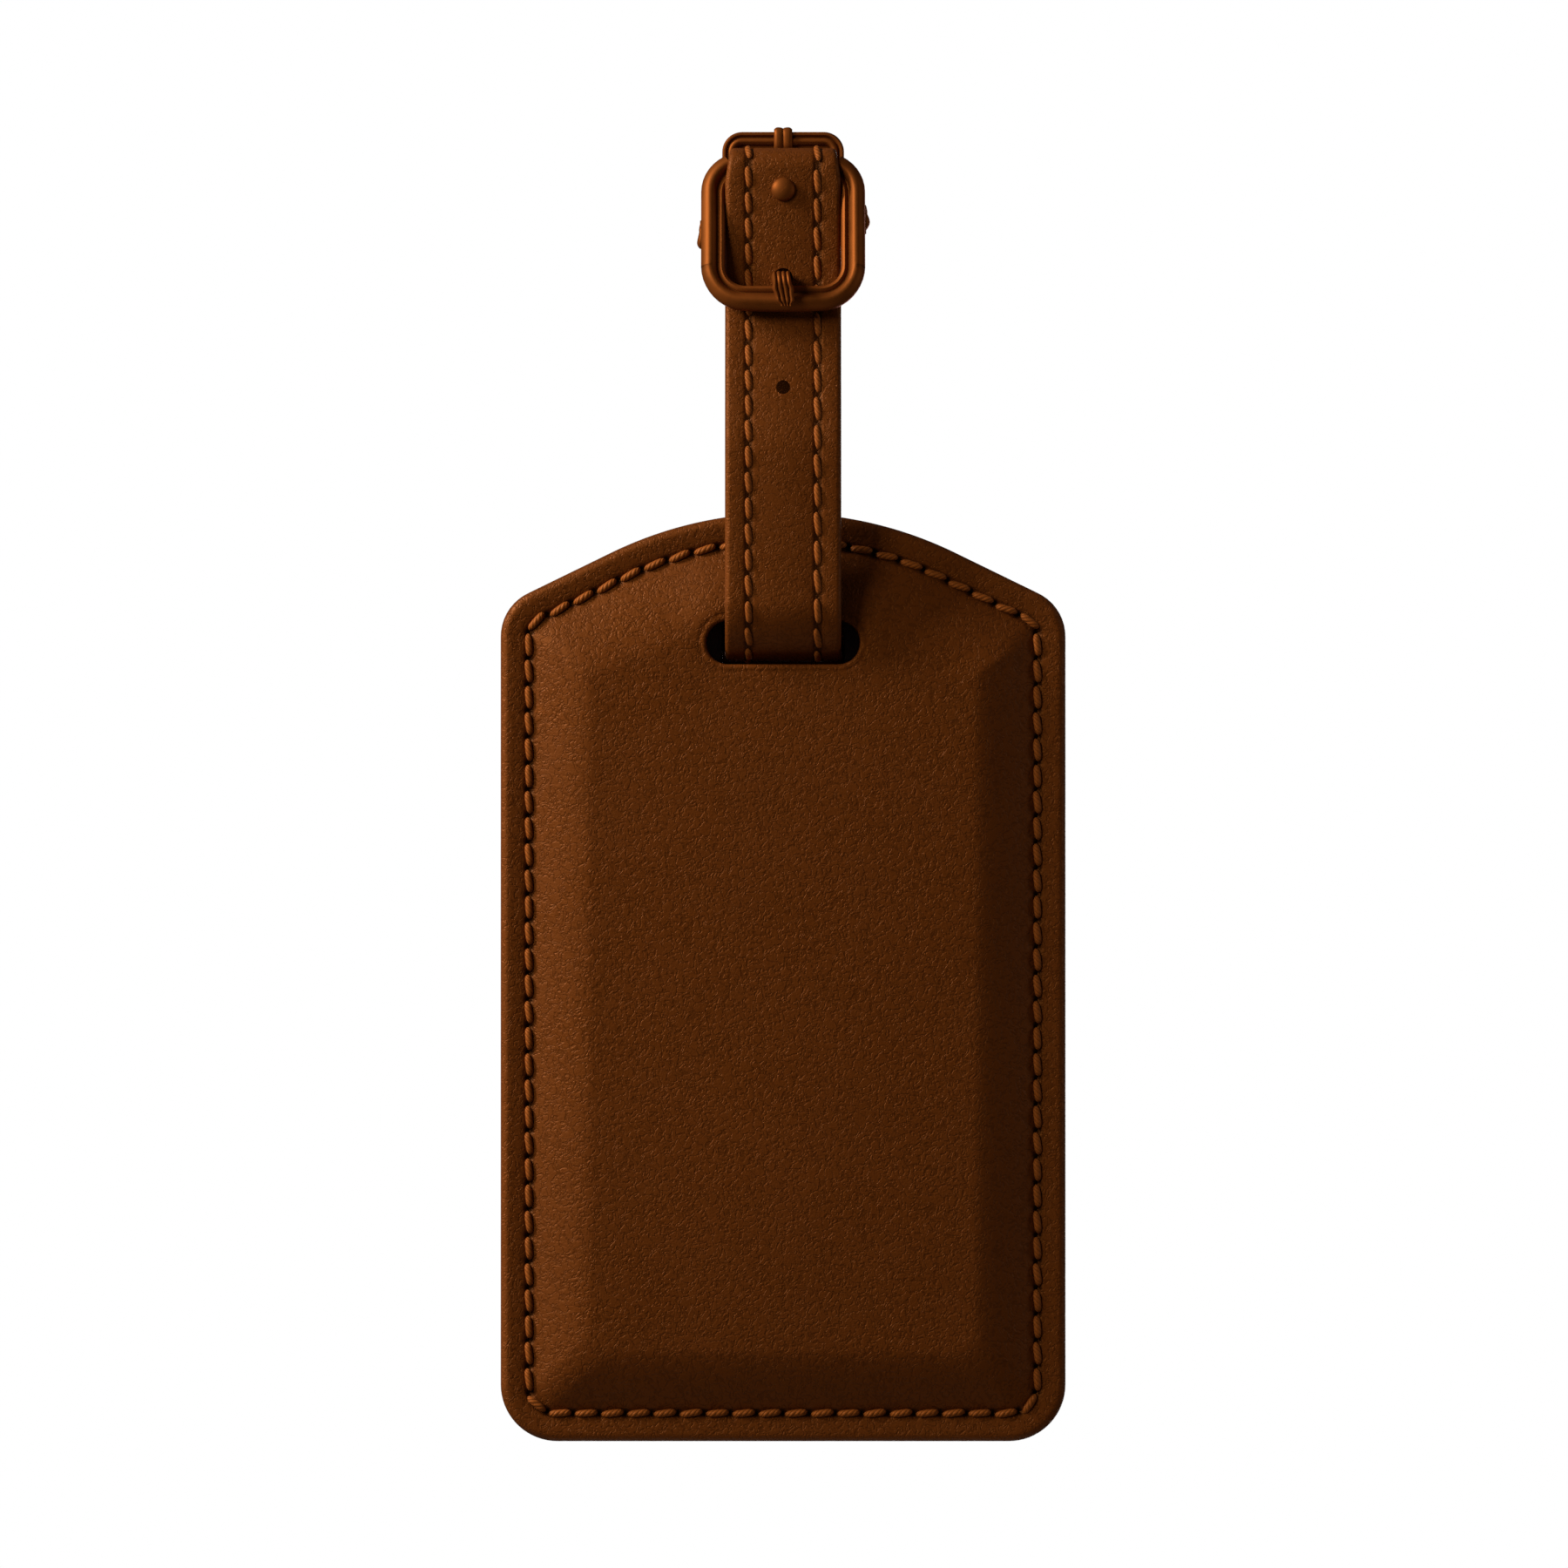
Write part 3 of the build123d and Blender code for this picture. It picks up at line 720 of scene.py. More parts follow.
def leather_material(name, colour, grain_size, roughness, depth, painted_seam_shade=False):
    """Dyed, finished leather: lighter where rubbed, with painted shade in the grain's creases, in
    needle holes and along seams.
    """
    material, tree, shader, place = new_material(name)
    vector = place.outputs["Object"]
    grain = use_group(tree, "grain", (-800, 150), Vector=vector, Size=grain_size)
    wear = use_group(tree, "wear", (-800, -150), Vector=vector, Reach=0.06, Patchiness=420.0)
    marks = use_group(tree, "handling", (-800, -400), Vector=vector, Smear_Size=140.0)
    base = mix_colour(tree, (-500, 300), grain.outputs["Mottle"], shade(colour, 0.90),
                      shade(colour, 1.10))
    # Painted shade: the grain's creases are darkened in the colour.
    crease = ranged(tree, (-500, 120), grain.outputs["Crease"], 0.0, 1.0)
    crease_shaded = mix_colour(tree, (-300, 300), crease, shade(colour, 0.74), base)
    surface = mix_colour(tree, (-100, 300), wear.outputs["Wear"], crease_shaded, shade(colour, 1.22))
    # Painted shade read from the needle attribute: near black in needle holes and along seams.
    if painted_seam_shade:
        needle = node(tree, "ShaderNodeAttribute", (-300, 520), attribute_name="needle")
        surface = mix_colour(tree, (100, 340), needle.outputs["Fac"], surface, shade(colour, 0.05))
    rough = ranged(tree, (100, -60), marks.outputs["Smear"], roughness - 0.05, roughness + 0.07,
                   0.3, 0.7)
    soft = bump(tree, (250, -260), grain.outputs["Mottle"], 0.0006, 0.12)
    fine = bump(tree, (420, -260), grain.outputs["Height"], depth, 0.6, soft)
    finish_surface(tree, shader, surface, rough, fine)
    shader.inputs["Specular IOR Level"].default_value = 0.5
    shader.inputs["Specular Tint"].default_value = (1.0, 0.30, 0.045, 1.0)
    return material


def edge_material(name, colour):
    """Cut leather board with painted edges: fibres show through the paint."""
    material, tree, shader, place = new_material(name)
    vector = place.outputs["Object"]
    fibres = noise(tree, (-700, 100), vector, 1400.0, 5.0).outputs["Fac"]
    marks = use_group(tree, "handling", (-700, -200), Vector=vector, Smear_Size=300.0)
    finish_surface(
        tree, shader,
        mix_colour(tree, (-300, 200), fibres, shade(colour, 0.65), shade(colour, 1.5)),
        ranged(tree, (100, -60), marks.outputs["Smear"], 0.5, 0.72),
        bump(tree, (350, -250), fibres, 0.00006, 0.6))
    return material


def thread_material(name, colour):
    """Waxed thread: twisted plies with painted shade between them, darker where it is soiled."""
    material, tree, shader, place = new_material(name)
    vector = place.outputs["Object"]
    twist = use_group(tree, "twist", (-700, 100), UV=place.outputs["UV"], Vector=vector, Turns=1.6)
    marks = use_group(tree, "handling", (-700, -250), Vector=vector, Smear_Size=260.0)
    # Painted shade: the grooves between the plies are darkened.
    between = ranged(tree, (-520, 60), twist.outputs["Shade"], 0.0, 1.0, 0.0, 0.45)
    plies = mix_colour(tree, (-350, 200), between, shade(colour, 0.45), shade(colour, 1.08))
    soil = ranged(tree, (-350, -60), marks.outputs["Smear"], 0.0, 0.35, 0.45, 0.7)
    finish_surface(
        tree, shader,
        mix_colour(tree, (-120, 200), soil, plies, shade(colour, 0.55)),
        ranged(tree, (100, -80), marks.outputs["Scratch"], 0.42, 0.62),
        bump(tree, (350, -250), twist.outputs["Height"], 0.00008, 0.7))
    shader.inputs["Sheen Weight"].default_value = 0.04
    shader.inputs["Sheen Tint"].default_value = (1.0, 0.5, 0.2, 1.0)
    shader.inputs["Specular Tint"].default_value = (1.0, 0.36, 0.09, 1.0)
    return material


def metal_material(name, colour):
    """Lacquered metal with a brown patina, and painted shade that darkens the hollows."""
    material, tree, shader, place = new_material(name)
    vector = place.outputs["Object"]
    marks = use_group(tree, "handling", (-800, -200), Vector=vector, Smear_Size=320.0)
    wear = use_group(tree, "wear", (-800, 150), Vector=vector, Reach=0.12, Patchiness=900.0)
    stain = ranged(tree, (-620, 60), marks.outputs["Smear"], 0.0, 1.0, 0.35, 0.65)
    patina = mix_colour(tree, (-450, 250), stain, shade(colour, 0.82), shade(colour, 1.08))
    # Painted shade: hollows darkened to 0.28 of the metal's colour.
    hollow_shade = mix_colour(tree, (-250, 250), wear.outputs["Hollow"], patina, shade(colour, 0.28))
    bright = mix_colour(tree, (-50, 250), wear.outputs["Wear"], hollow_shade, shade(colour, 1.35))
    finish_surface(
        tree, shader, bright,
        ranged(tree, (100, -60), marks.outputs["Smear"], 0.47, 0.60),
        bump(tree, (350, -250), marks.outputs["Scratch"], 0.00001, 0.25))
    shader.inputs["Metallic"].default_value = 0.5
    shader.inputs["Specular IOR Level"].default_value = 0.25
    shader.inputs["Specular Tint"].default_value = (1.0, 0.34, 0.07, 1.0)
    return material


def foam_material(name):
    material, tree, shader, place = new_material(name)
    cells = node(tree, "ShaderNodeTexVoronoi", (-600, 100), feature="F1")
    cells.inputs["Scale"].default_value = 1700.0
    tree.links.new(place.outputs["Object"], cells.inputs["Vector"])
    far = cells.outputs["Distance"]
    finish_surface(
        tree, shader,
        mix_colour(tree, (-200, 200), far, (0.13, 0.12, 0.11, 1), (0.32, 0.31, 0.28, 1)),
        ranged(tree, (100, 0), far, 0.8, 0.98),
        bump(tree, (300, -200), far, 0.0002, 0.8))
    return material


def film_material(name):
    """Clear flexible sheet with faint ripples and scuffs."""
    material, tree, shader, place = new_material(name)
    marks = use_group(tree, "handling", (-700, 0), Vector=place.outputs["Object"], Smear_Size=60.0)
    finish_surface(
        tree, shader, (0.96, 0.95, 0.92, 1.0),
        ranged(tree, (100, 0), marks.outputs["Scratch"], 0.03, 0.16, 0.4, 0.8),
        bump(tree, (300, -250), marks.outputs["Smear"], 0.0008, 0.25))
    shader.inputs["Transmission Weight"].default_value = 0.92
    shader.inputs["IOR"].default_value = 1.4
    return material


def card_material(name, colour, ink):
    """Off-white card with a printed border and blank ruled lines to write on."""
    material, tree, shader, place = new_material(name)
    middle = [(CARD_LOW[n] + CARD_HIGH[n]) / 2 * MM for n in range(3)]
    centred = node(tree, "ShaderNodeMapping", (-950, 100))
    centred.inputs["Location"].default_value = (-middle[0], -middle[1], -middle[2])
    tree.links.new(place.outputs["Object"], centred.inputs["Vector"])
    parts = node(tree, "ShaderNodeSeparateXYZ", (-780, 100))
    tree.links.new(centred.outputs[0], parts.inputs[0])
    across = math_node(tree, "ABSOLUTE", (-620, 200), parts.outputs["X"])
    lines = math_node(tree, "PINGPONG", (-620, 0), parts.outputs["Z"], 0.0045)
    thin = math_node(tree, "LESS_THAN", (-450, 0), lines, 0.00012)
    upright = math_node(tree, "ABSOLUTE", (-620, -160), parts.outputs["Z"])
    written = math_node(tree, "MULTIPLY", (-280, 60), thin,
                        math_node(tree, "LESS_THAN", (-450, 200), across, 0.0185))
    written = math_node(tree, "MULTIPLY", (-120, 60), written,
                        math_node(tree, "LESS_THAN", (-450, -160), upright, 0.024))
    wide = math_node(tree, "SUBTRACT", (-450, -320), across, 0.0208)
    tall = math_node(tree, "SUBTRACT", (-450, -480), upright, 0.0298)
    outside = math_node(tree, "MAXIMUM", (-280, -400), wide, tall)
    off_border = math_node(tree, "ABSOLUTE", (-200, -500), outside)
    border = math_node(tree, "LESS_THAN", (-120, -400), off_border, 0.00014)
    printed = math_node(tree, "MAXIMUM", (40, -60), written, border)
    fibres = noise(tree, (-300, 420), place.outputs["Object"], 2600.0, 4.0).outputs["Fac"]
    paper = mix_colour(tree, (60, 320), fibres, shade(colour, 0.93), shade(colour, 1.05))
    finish_surface(
        tree, shader,
        mix_colour(tree, (300, 200), printed, paper, ink + (1.0,)),
        ranged(tree, (300, -80), fibres, 0.55, 0.75),
        bump(tree, (350, -300), fibres, 0.00002, 0.4))
    return material


MATERIALS = {}


def material_for(name):
    """The finishes, each made once from the colours in the panel."""
    if name not in MATERIALS:
        look = bpy.context.scene.tag_look
        leather, thread, metal = tuple(look.leather), tuple(look.thread), tuple(look.metal)
        grain = look.grain_size
        # dark is the board's edge paint, and painted shade for the strap's lining: the lining is
        # kept dark so the holes through the strap and its side edges read dark.
        rear, dark = shade(leather, 0.96)[:3], shade(leather, 0.30)[:3]
        makers = {
            "face": lambda: leather_material("Face leather", leather, grain, 0.46, 0.00011, True),
            "strap": lambda: leather_material("Strap leather", leather, grain * 0.85, 0.45,
                                              0.00009, True),
            "back": lambda: leather_material("Back leather", rear, grain * 1.1, 0.54, 0.00009,
                                             True),
            "lining": lambda: leather_material("Lining leather", dark, grain * 0.6, 0.66,
                                               0.00005),
            "board": lambda: edge_material("Edge board", dark),
            "thread": lambda: thread_material("Waxed thread", thread),
            "metal": lambda: metal_material("Brown metal", metal),
            "foam": lambda: foam_material("Foam"),
            "film": lambda: film_material("Clear film"),
            "card": lambda: card_material("Address card", (0.80, 0.76, 0.66), (0.20, 0.12, 0.07)),
        }
        MATERIALS[name] = makers[name]()
    return MATERIALS[name]


# ---- the tag's body ----
def seam_count(look):
    _, length = outline_stations(1, look.seam_inset / MM)
    return round(length * MM / look.stitch_pitch)


def rise_at(inset, slope_end):
    """Share of the padding's full height at an inset from the rim."""
    start = 3.7
    share = unit((inset - start) / (slope_end - start))
    soft_start = 0.08
    share = share * share / (share + soft_start) * (1 + soft_start)
    return 1 - (1 - share) ** 1.55


class TAG_OT_face_panel(bpy.types.Operator):
    """Make the padded leather face with its seam groove, needle holes and lipped slot"""
    bl_idname = "tag.face_panel"
    bl_label = "Face panel"

    def execute(self, context):
        look = context.scene.tag_look
        stitches = seam_count(look)
        seam = look.seam_inset / MM
        count = stitches * STITCH_COLUMNS
        stations, _ = outline_stations(count, seam)
        rim_round = look.rim_round / MM
        slope_end = look.slope_end / MM
        full_rise = RIM_Y - PAD_Y
        last = slope_end + 0.05
        flat_behind = 5.0
        insets = [last - step * 0.45 for step in range(14)]
        insets = [inset for inset in insets if inset > 4.4]
        insets += [4.1, 3.92, 3.8, 3.7, 3.6, 3.48, 3.36, seam, 3.14, 3.02, 2.9, 2.8, 2.7, 2.55,
                   2.2, 1.75, 1.3]
        seam_loop = outline_loop(seam, stations)
        draws = []
        for n in range(count):
            run = Vector(seam_loop[(n + 1) % count]) - Vector(seam_loop[n - 1])
            upward = max(0.0, -run.normalized().x)
            beside_slot = unit((abs(seam_loop[n][0]) - 9.0) / 7.0)
            draws.append(1 + 0.34 * upward * beside_slot * beside_slot * (3 - 2 * beside_slot))
        rings, needle = [], []
        for inset in insets:
            loop = drawn_loop(inset, stations, draws)
            ring = []
            for n, (x, z) in enumerate(loop):
                column = n % STITCH_COLUMNS
                share = min(column, STITCH_COLUMNS - column) / STITCH_COLUMNS
                past = share * look.stitch_pitch / MM
                off = inset - seam
                groove = GROOVE_DEPTH * bell(off, 0.5) + GROOVE_DEPTH * bell(off, 1.5)
                hole = exp(-(off / HOLE_RADIUS) ** 2 - (past / HOLE_RADIUS) ** 2)
                # painted shadow line along both sides of the seam
                seam_shadow = SEAM_SHADOW_SHARE * bell(abs(off) - SEAM_SHADOW_OFF, SEAM_SHADOW_REACH)
                depth = RIM_Y - full_rise * rise_at(inset, slope_end) + groove + HOLE_DEPTH * hole
                ring.append((x, depth, z))
                # Painted shade: near black in each needle hole, plus the seam's painted shadow
                # line.
                needle.append(min(1.0, hole * 1.9 + seam_shadow))
            rings.append(ring)
        for n in range(6):
            turn = pi / 2 * n / 5
            loop = outline_loop(rim_round * (1 - sin(turn)), stations)
            rings.append([(x, RIM_Y + rim_round * (1 - cos(turn)), z) for x, z in loop])
            needle += [0.0] * count
        for inset in (0.0, 5.0, 6.0, 7.2, 8.6, last):
            loop = drawn_loop(inset, stations, draws)
            ring = []
            for x, z in loop:
                under = RIM_Y - full_rise * rise_at(inset - 0.8, slope_end) + SKIN
                ring.append((x, SKIN_BACK if inset <= flat_behind else min(SKIN_BACK, under), z))
            rings.append(ring)
            needle += [0.0] * count
        under_y = rings[-1][0][1]
        slot_rings = []
        for outset, depth in ((1.25, 0.0), (1.0, 0.02), (0.82, 0.06), (0.64, 0.03), (0.46, -0.01),
                              (0.28, 0.01), (0.12, 0.09), (0.0, 0.32)):
            slot_rings.append([(x, PAD_Y + depth, z) for x, z in stadium_loop(outset)])
        for outset, depth in ((0.0, SKIN_BACK), (0.6, SKIN_BACK), (0.6, under_y), (1.25, under_y)):
            slot_rings.append([(x, depth, z) for x, z in stadium_loop(outset)])
        piece = layer_from_rings("face_panel", [rings, slot_rings])
        paint_seam_shade(piece, needle)
        smooth(piece, 50)
        finish_piece(piece, "tag", ["front_panel"], material_for("face"))
        return {"FINISHED"}


class TAG_OT_foam(bpy.types.Operator):
    """Make the foam pad that lifts the face"""
    bl_idname = "tag.foam"
    bl_label = "Foam pad"

    def execute(self, context):
        look = context.scene.tag_look
        slope_end = look.slope_end / MM
        stations, _ = outline_stations(360, 6.0)
        full_rise = RIM_Y - PAD_Y
        rings = []
        for inset in (slope_end + 0.7, slope_end - 0.6, 8.4, 7.6, 6.9, 6.3, 5.8, 5.4):
            loop = outline_loop(inset, stations)
            ring = []
            for x, z in loop:
                top = RIM_Y - full_rise * rise_at(inset - 1.5, slope_end) + SKIN + 0.12
                ring.append((x, min(top, SKIN_BACK - 0.08), z))
            rings.append(ring)
        for inset in (5.35, 6.2, slope_end + 0.7):
            rings.append([(x, SKIN_BACK - 0.02, z) for x, z in outline_loop(inset, stations)])
        top_y = rings[0][0][1]
        slot_rings = [[(x, y, z) for x, z in stadium_loop(outset)]
                      for outset, y in ((1.2, top_y), (0.95, top_y + 0.1), (0.9, SKIN_BACK - 0.1),
                                        (1.2, SKIN_BACK - 0.02))]
        piece = layer_from_rings("foam_block", [rings, slot_rings])
        smooth(piece, 40)
        finish_piece(piece, "tag", ["foam_pad"], material_for("foam"))
        return {"FINISHED"}


def plain_outline(count=420, inset=0.0):
    stations, _ = outline_stations(count, 3.0)
    return outline_loop(inset, stations)


def mouth_outline(count=900):
    """The outline with the pocket's mouth cut back along one side and its thumb notch."""
    loop = []
    for x, z in plain_outline(count):
        if x > MOUTH_X and POCKET[1] < z < POCKET[2]:
            notch = 1 - ((z - WINDOW[1]) / 8.0) ** 2
            from_end = min(1.0, min(z - POCKET[1], POCKET[2] - z) / 2.6)
            ease = from_end * from_end * (3 - 2 * from_end)
            x = MOUTH_X - 4.0 * notch ** 0.5 if notch > 0 else x + (MOUTH_X - x) * ease
        loop.append((x, z))
    return loop


def welt_outline():
    """A frame open at one side: rim, lower edge, far side and the whole top round the slot."""
    left, low, high = POCKET
    loop = []
    for x, z in plain_outline(600):
        if not (x > left and low < z < high):
            loop.append((x, z))
    cut = [n for n in range(len(loop))
           if loop[n][0] > 30 and loop[n][1] <= low and loop[(n + 1) % len(loop)][1] >= high][0]
    inner = []
    below, above = loop[cut][0], loop[(cut + 1) % len(loop)][0]
    corners = [(below, low), (left, low), (left, high), (above, high)]
    for start, end in zip(corners, corners[1:]):
        for n in range(30):
            inner.append(tuple(Vector(start).lerp(Vector(end), n / 30)))
    inner.append(corners[-1])
    return loop[:cut + 1] + inner + loop[cut + 1:]


class TAG_OT_back_layers(bpy.types.Operator):
    """Make the board, back panel, pocket welt and window frame with rounded edges"""
    bl_idname = "tag.back_layers"
    bl_label = "Back layers"

    def execute(self, context):
        slot_loop = box_loop(0, SLOT_Z, INNER_SLOT_HALF, SLOT_RADIUS, 0.5)
        slot_top, snug_low = SLOT_Z + SLOT_RADIUS, -37.8
        snug_slot = box_loop(0, (slot_top + snug_low) / 2, STRAP_HALF + 0.01,
                             (slot_top - snug_low) / 2, 0.6)
        window = box_loop(WINDOW[0], WINDOW[1], WINDOW[2], WINDOW[3], 3.0)
        layers = (
            ("edge_board", "stiffener_board", "board", "board", BOARD_LOW[1], BOARD_HIGH[1], 0.12,
             [plain_outline(inset=0.08), slot_loop]),
            ("rear_leather", "back_panel", "leather", "back", BACK_LOW[1], BACK_HIGH[1], 0.25,
             [plain_outline(), slot_loop]),
            ("welt_strip", "pocket_welt", "leather", "back", WELT_LOW[1], WELT_HIGH[1], 0.15,
             [welt_outline(), slot_loop]),
            ("window_border", "window_frame", "leather", "back", COVER_LOW[1], COVER_HIGH[1], 0.40,
             [mouth_outline(), snug_slot, window]),
        )
        for name, replaced, slot, finish, front, back, rounding, loops in layers:
            sets = [edge_rings(loop, front, back, rounding) for loop in loops]
            piece = layer_from_rings(name, sets)
            smooth(piece, 40)
            finish_piece(piece, "tag", [replaced], material_for(finish))
        return {"FINISHED"}


class TAG_OT_pocket(bpy.types.Operator):
    """Make the clear window sheet and the address card behind it"""
    bl_idname = "tag.pocket"
    bl_label = "Window and card"

    def execute(self, context):
        for name, replaced, low, high, corner, rounding, body, slot in (
                ("clear_sheet", "window_film", FILM_LOW, FILM_HIGH, 1.0, 0.1, "tag", "film"),
                ("name_card", "address_card", CARD_LOW, CARD_HIGH, 1.5, 0.08, "card", "card")):
            outer = box_loop((low[0] + high[0]) / 2, (low[2] + high[2]) / 2, (high[0] - low[0]) / 2,
                             (high[2] - low[2]) / 2, corner)
            outer.reverse()
            piece = layer_from_rings(name, [edge_rings(outer, low[1], high[1], rounding)])
            smooth(piece, 30)
            finish_piece(piece, body, [replaced], material_for(slot))
        return {"FINISHED"}


# ---- thread ----
def thread_master(length, width, height):
    """One stitch lying along Z: plump in the middle, drawn in at the ends where it dives."""
    deselect()
    bpy.ops.mesh.primitive_uv_sphere_add(segments=12, ring_count=12, radius=1.0)
    master = bpy.context.object
    master.name = "stitch_pattern"
    bpy.ops.object.mode_set(mode="EDIT")
    bpy.ops.mesh.select_all(action="SELECT")
    bpy.ops.transform.resize(value=(width / 2 * MM, height * MM, length / 2 * MM))
    bpy.ops.object.mode_set(mode="OBJECT")
    half = length / 2 * MM
    for point in master.data.vertices:
        share = min(1.0, abs(point.co.z) / half)
        plump = ((1 - share ** 3.6) / max(1 - share ** 2, 0.02)) ** 0.5
        point.co.x *= plump
        point.co.y = point.co.y * plump - 0.6 * height * MM * share ** 4
    return master


def thread_row(name, master, places, replaced, body):
    """Copies of one stitch, each in its own place, as one piece."""
    work = bmesh.new()
    for matrix in places:
        shape = master.data.copy()
        shape.transform(matrix)
        work.from_mesh(shape)
        bpy.data.meshes.remove(shape)
    mesh = bpy.data.meshes.new(name)
    work.to_mesh(mesh)
    work.free()
    piece = bpy.data.objects.new(name, mesh)
    bpy.context.scene.collection.objects.link(piece)
    smooth(piece, 60)
    finish_piece(piece, body, [replaced], material_for("thread"))
    return piece


def stitch_matrix(spot, run, out, slant=0.0):
    """Lay a stitch along run with its top facing out. The pattern lies along Z and rises to +Y."""
    along = run.normalized()
    up = (out - along * out.dot(along)).normalized()
    across = up.cross(along)
    turn = Matrix((across, up, along)).transposed()
    lean = Matrix.Rotation(slant, 3, up)
    return Matrix.Translation(spot * MM) @ (lean @ turn).to_4x4()


def seam_places(look, y_at, out, slant):
    """Stitch places round the tag, halfway between the needle holes."""
    stitches = seam_count(look)
    stations, _ = outline_stations(stitches * STITCH_COLUMNS, look.seam_inset / MM)
    loop = outline_loop(look.seam_inset / MM, stations)
    places = []
    half = STITCH_COLUMNS // 2
    for number in range(stitches):
        here = number * STITCH_COLUMNS + half
        x, z = loop[here]
        before, after = Vector(loop[here - half]), Vector(loop[(here + half) % len(loop)])
        run = Vector((after.x - before.x, 0, after.y - before.y))
        wobble = slant + 0.03 * sin(number * 2.4) + 0.02 * sin(number * 5.1)
        y = y_at(x, z)
        if y is not None:
            places.append(stitch_matrix(Vector((x, y, z)), run, out, wobble))
    return places


class TAG_OT_seam(bpy.types.Operator):
    """Sew round the tag: a row of stitches on the face and one on the back"""
    bl_idname = "tag.seam"
    bl_label = "Seam"

    def execute(self, context):
        look = context.scene.tag_look
        pitch, width = look.stitch_pitch / MM, look.stitch_width / MM
        master = thread_master(pitch * 0.88, width * 0.95, 0.38)

        def rear_face(x, z):
            step = 1.4
            if x > MOUTH_X and POCKET[1] - step < z < POCKET[2] + step:
                inside = POCKET[1] + step < z < POCKET[2] - step
                return BACK_HIGH[1] - 0.08 if inside else None
            return COVER_HIGH[1] + 0.02

        front = seam_places(look, lambda x, z: RIM_Y + 0.15, Vector((0, -1, 0)), 0.13)
        back = seam_places(look, rear_face, Vector((0, 1, 0)), 0.13)
        thread_row("seam_front", master, front, "front_stitching", "tag")
        thread_row("seam_back", master, back, "back_stitching", "tag")
        bpy.data.objects.remove(master)
        return {"FINISHED"}


# ---- the strap ----
def strap_places():
    return rounded_route(STRAP_ROUTE, STRAP_BENDS, ROUTE_STEP)


def strap_half_at(place, number, count):
    """Half the strap's width: narrower at both hidden ends, a little drawn in over the fold."""
    spot = place[0]
    to_fold, to_full = FOLD_HALF - HIDDEN_HALF, STRAP_HALF - FOLD_HALF
    if number < count * 0.3 and spot.y > 13.5 and spot.x > -1.6:
        if spot.y < 18.4:
            return HIDDEN_HALF
        return HIDDEN_HALF + to_fold * min(1.0, (spot.y - 18.4) / 1.2)
    if number < count * 0.35 and spot.y > 17.0:
        return FOLD_HALF + to_full * min(1.0, (20.4 - spot.y) / 3.4)
    if number > count * 0.7 and spot.y > 6.5:
        return HIDDEN_HALF + (STRAP_HALF - HIDDEN_HALF) * unit((8.0 - spot.y) / 1.5)
    if number > count * 0.9 and spot.x < 1.0:
        return HIDDEN_HALF
    return STRAP_HALF


def band_section(half, low, high, rounding, grooves=()):
    """A strip's section as (x, out): flat inside, rounded outer edges, thread grooves on top."""
    top = []
    steps = 5
    for n in range(steps + 1):
        turn = pi / 2 * n / steps
        top.append((-half + rounding * (1 - cos(turn)), high - rounding * (1 - sin(turn))))
    marks = []
    for groove in grooves:
        marks += [(groove + off, depth) for off, depth in
                  ((-0.75, 0.0), (-0.58, 0.03), (-0.42, 0.10), (0.0, 0.18),
                   (0.42, 0.10), (0.58, 0.03), (0.75, 0.0))]
    middle = [(x, high + 0.02 - depth) for x, depth in marks]
    right = [(-x, out) for x, out in reversed(top)]
    small = 0.12
    bottom = [(half, low + small), (half - small, low), (-half + small, low), (-half, low + small)]
    return top + middle + right + bottom


def bore(piece, cutters):
    """Cut shapes out of a piece and remove them."""
    for cutter in cutters:
        deselect()
        bpy.context.view_layer.objects.active = piece
        modifier = piece.modifiers.new("cut", "BOOLEAN")
        modifier.operation = "DIFFERENCE"
        modifier.solver = "EXACT"
        modifier.object = cutter
        bpy.ops.object.modifier_apply(modifier="cut")
        bpy.data.objects.remove(cutter)


def drill(z, radius, rear, front):
    """A cylinder along Y to cut a hole with."""
    deselect()
    bpy.ops.mesh.primitive_cylinder_add(
        vertices=40, radius=radius * MM, depth=abs(rear - front) * MM,
        location=(0, (rear + front) / 2 * MM, z * MM), rotation=(pi / 2, 0, 0))
    return bpy.context.object


def block(low, high):
    """A plain box to cut with."""
    deselect()
    middle = [(a + b) / 2 * MM for a, b in zip(low, high)]
    bpy.ops.mesh.primitive_cube_add(size=1, location=middle)
    cutter = bpy.context.object
    cutter.scale = [(b - a) * MM for a, b in zip(low, high)]
    return cutter


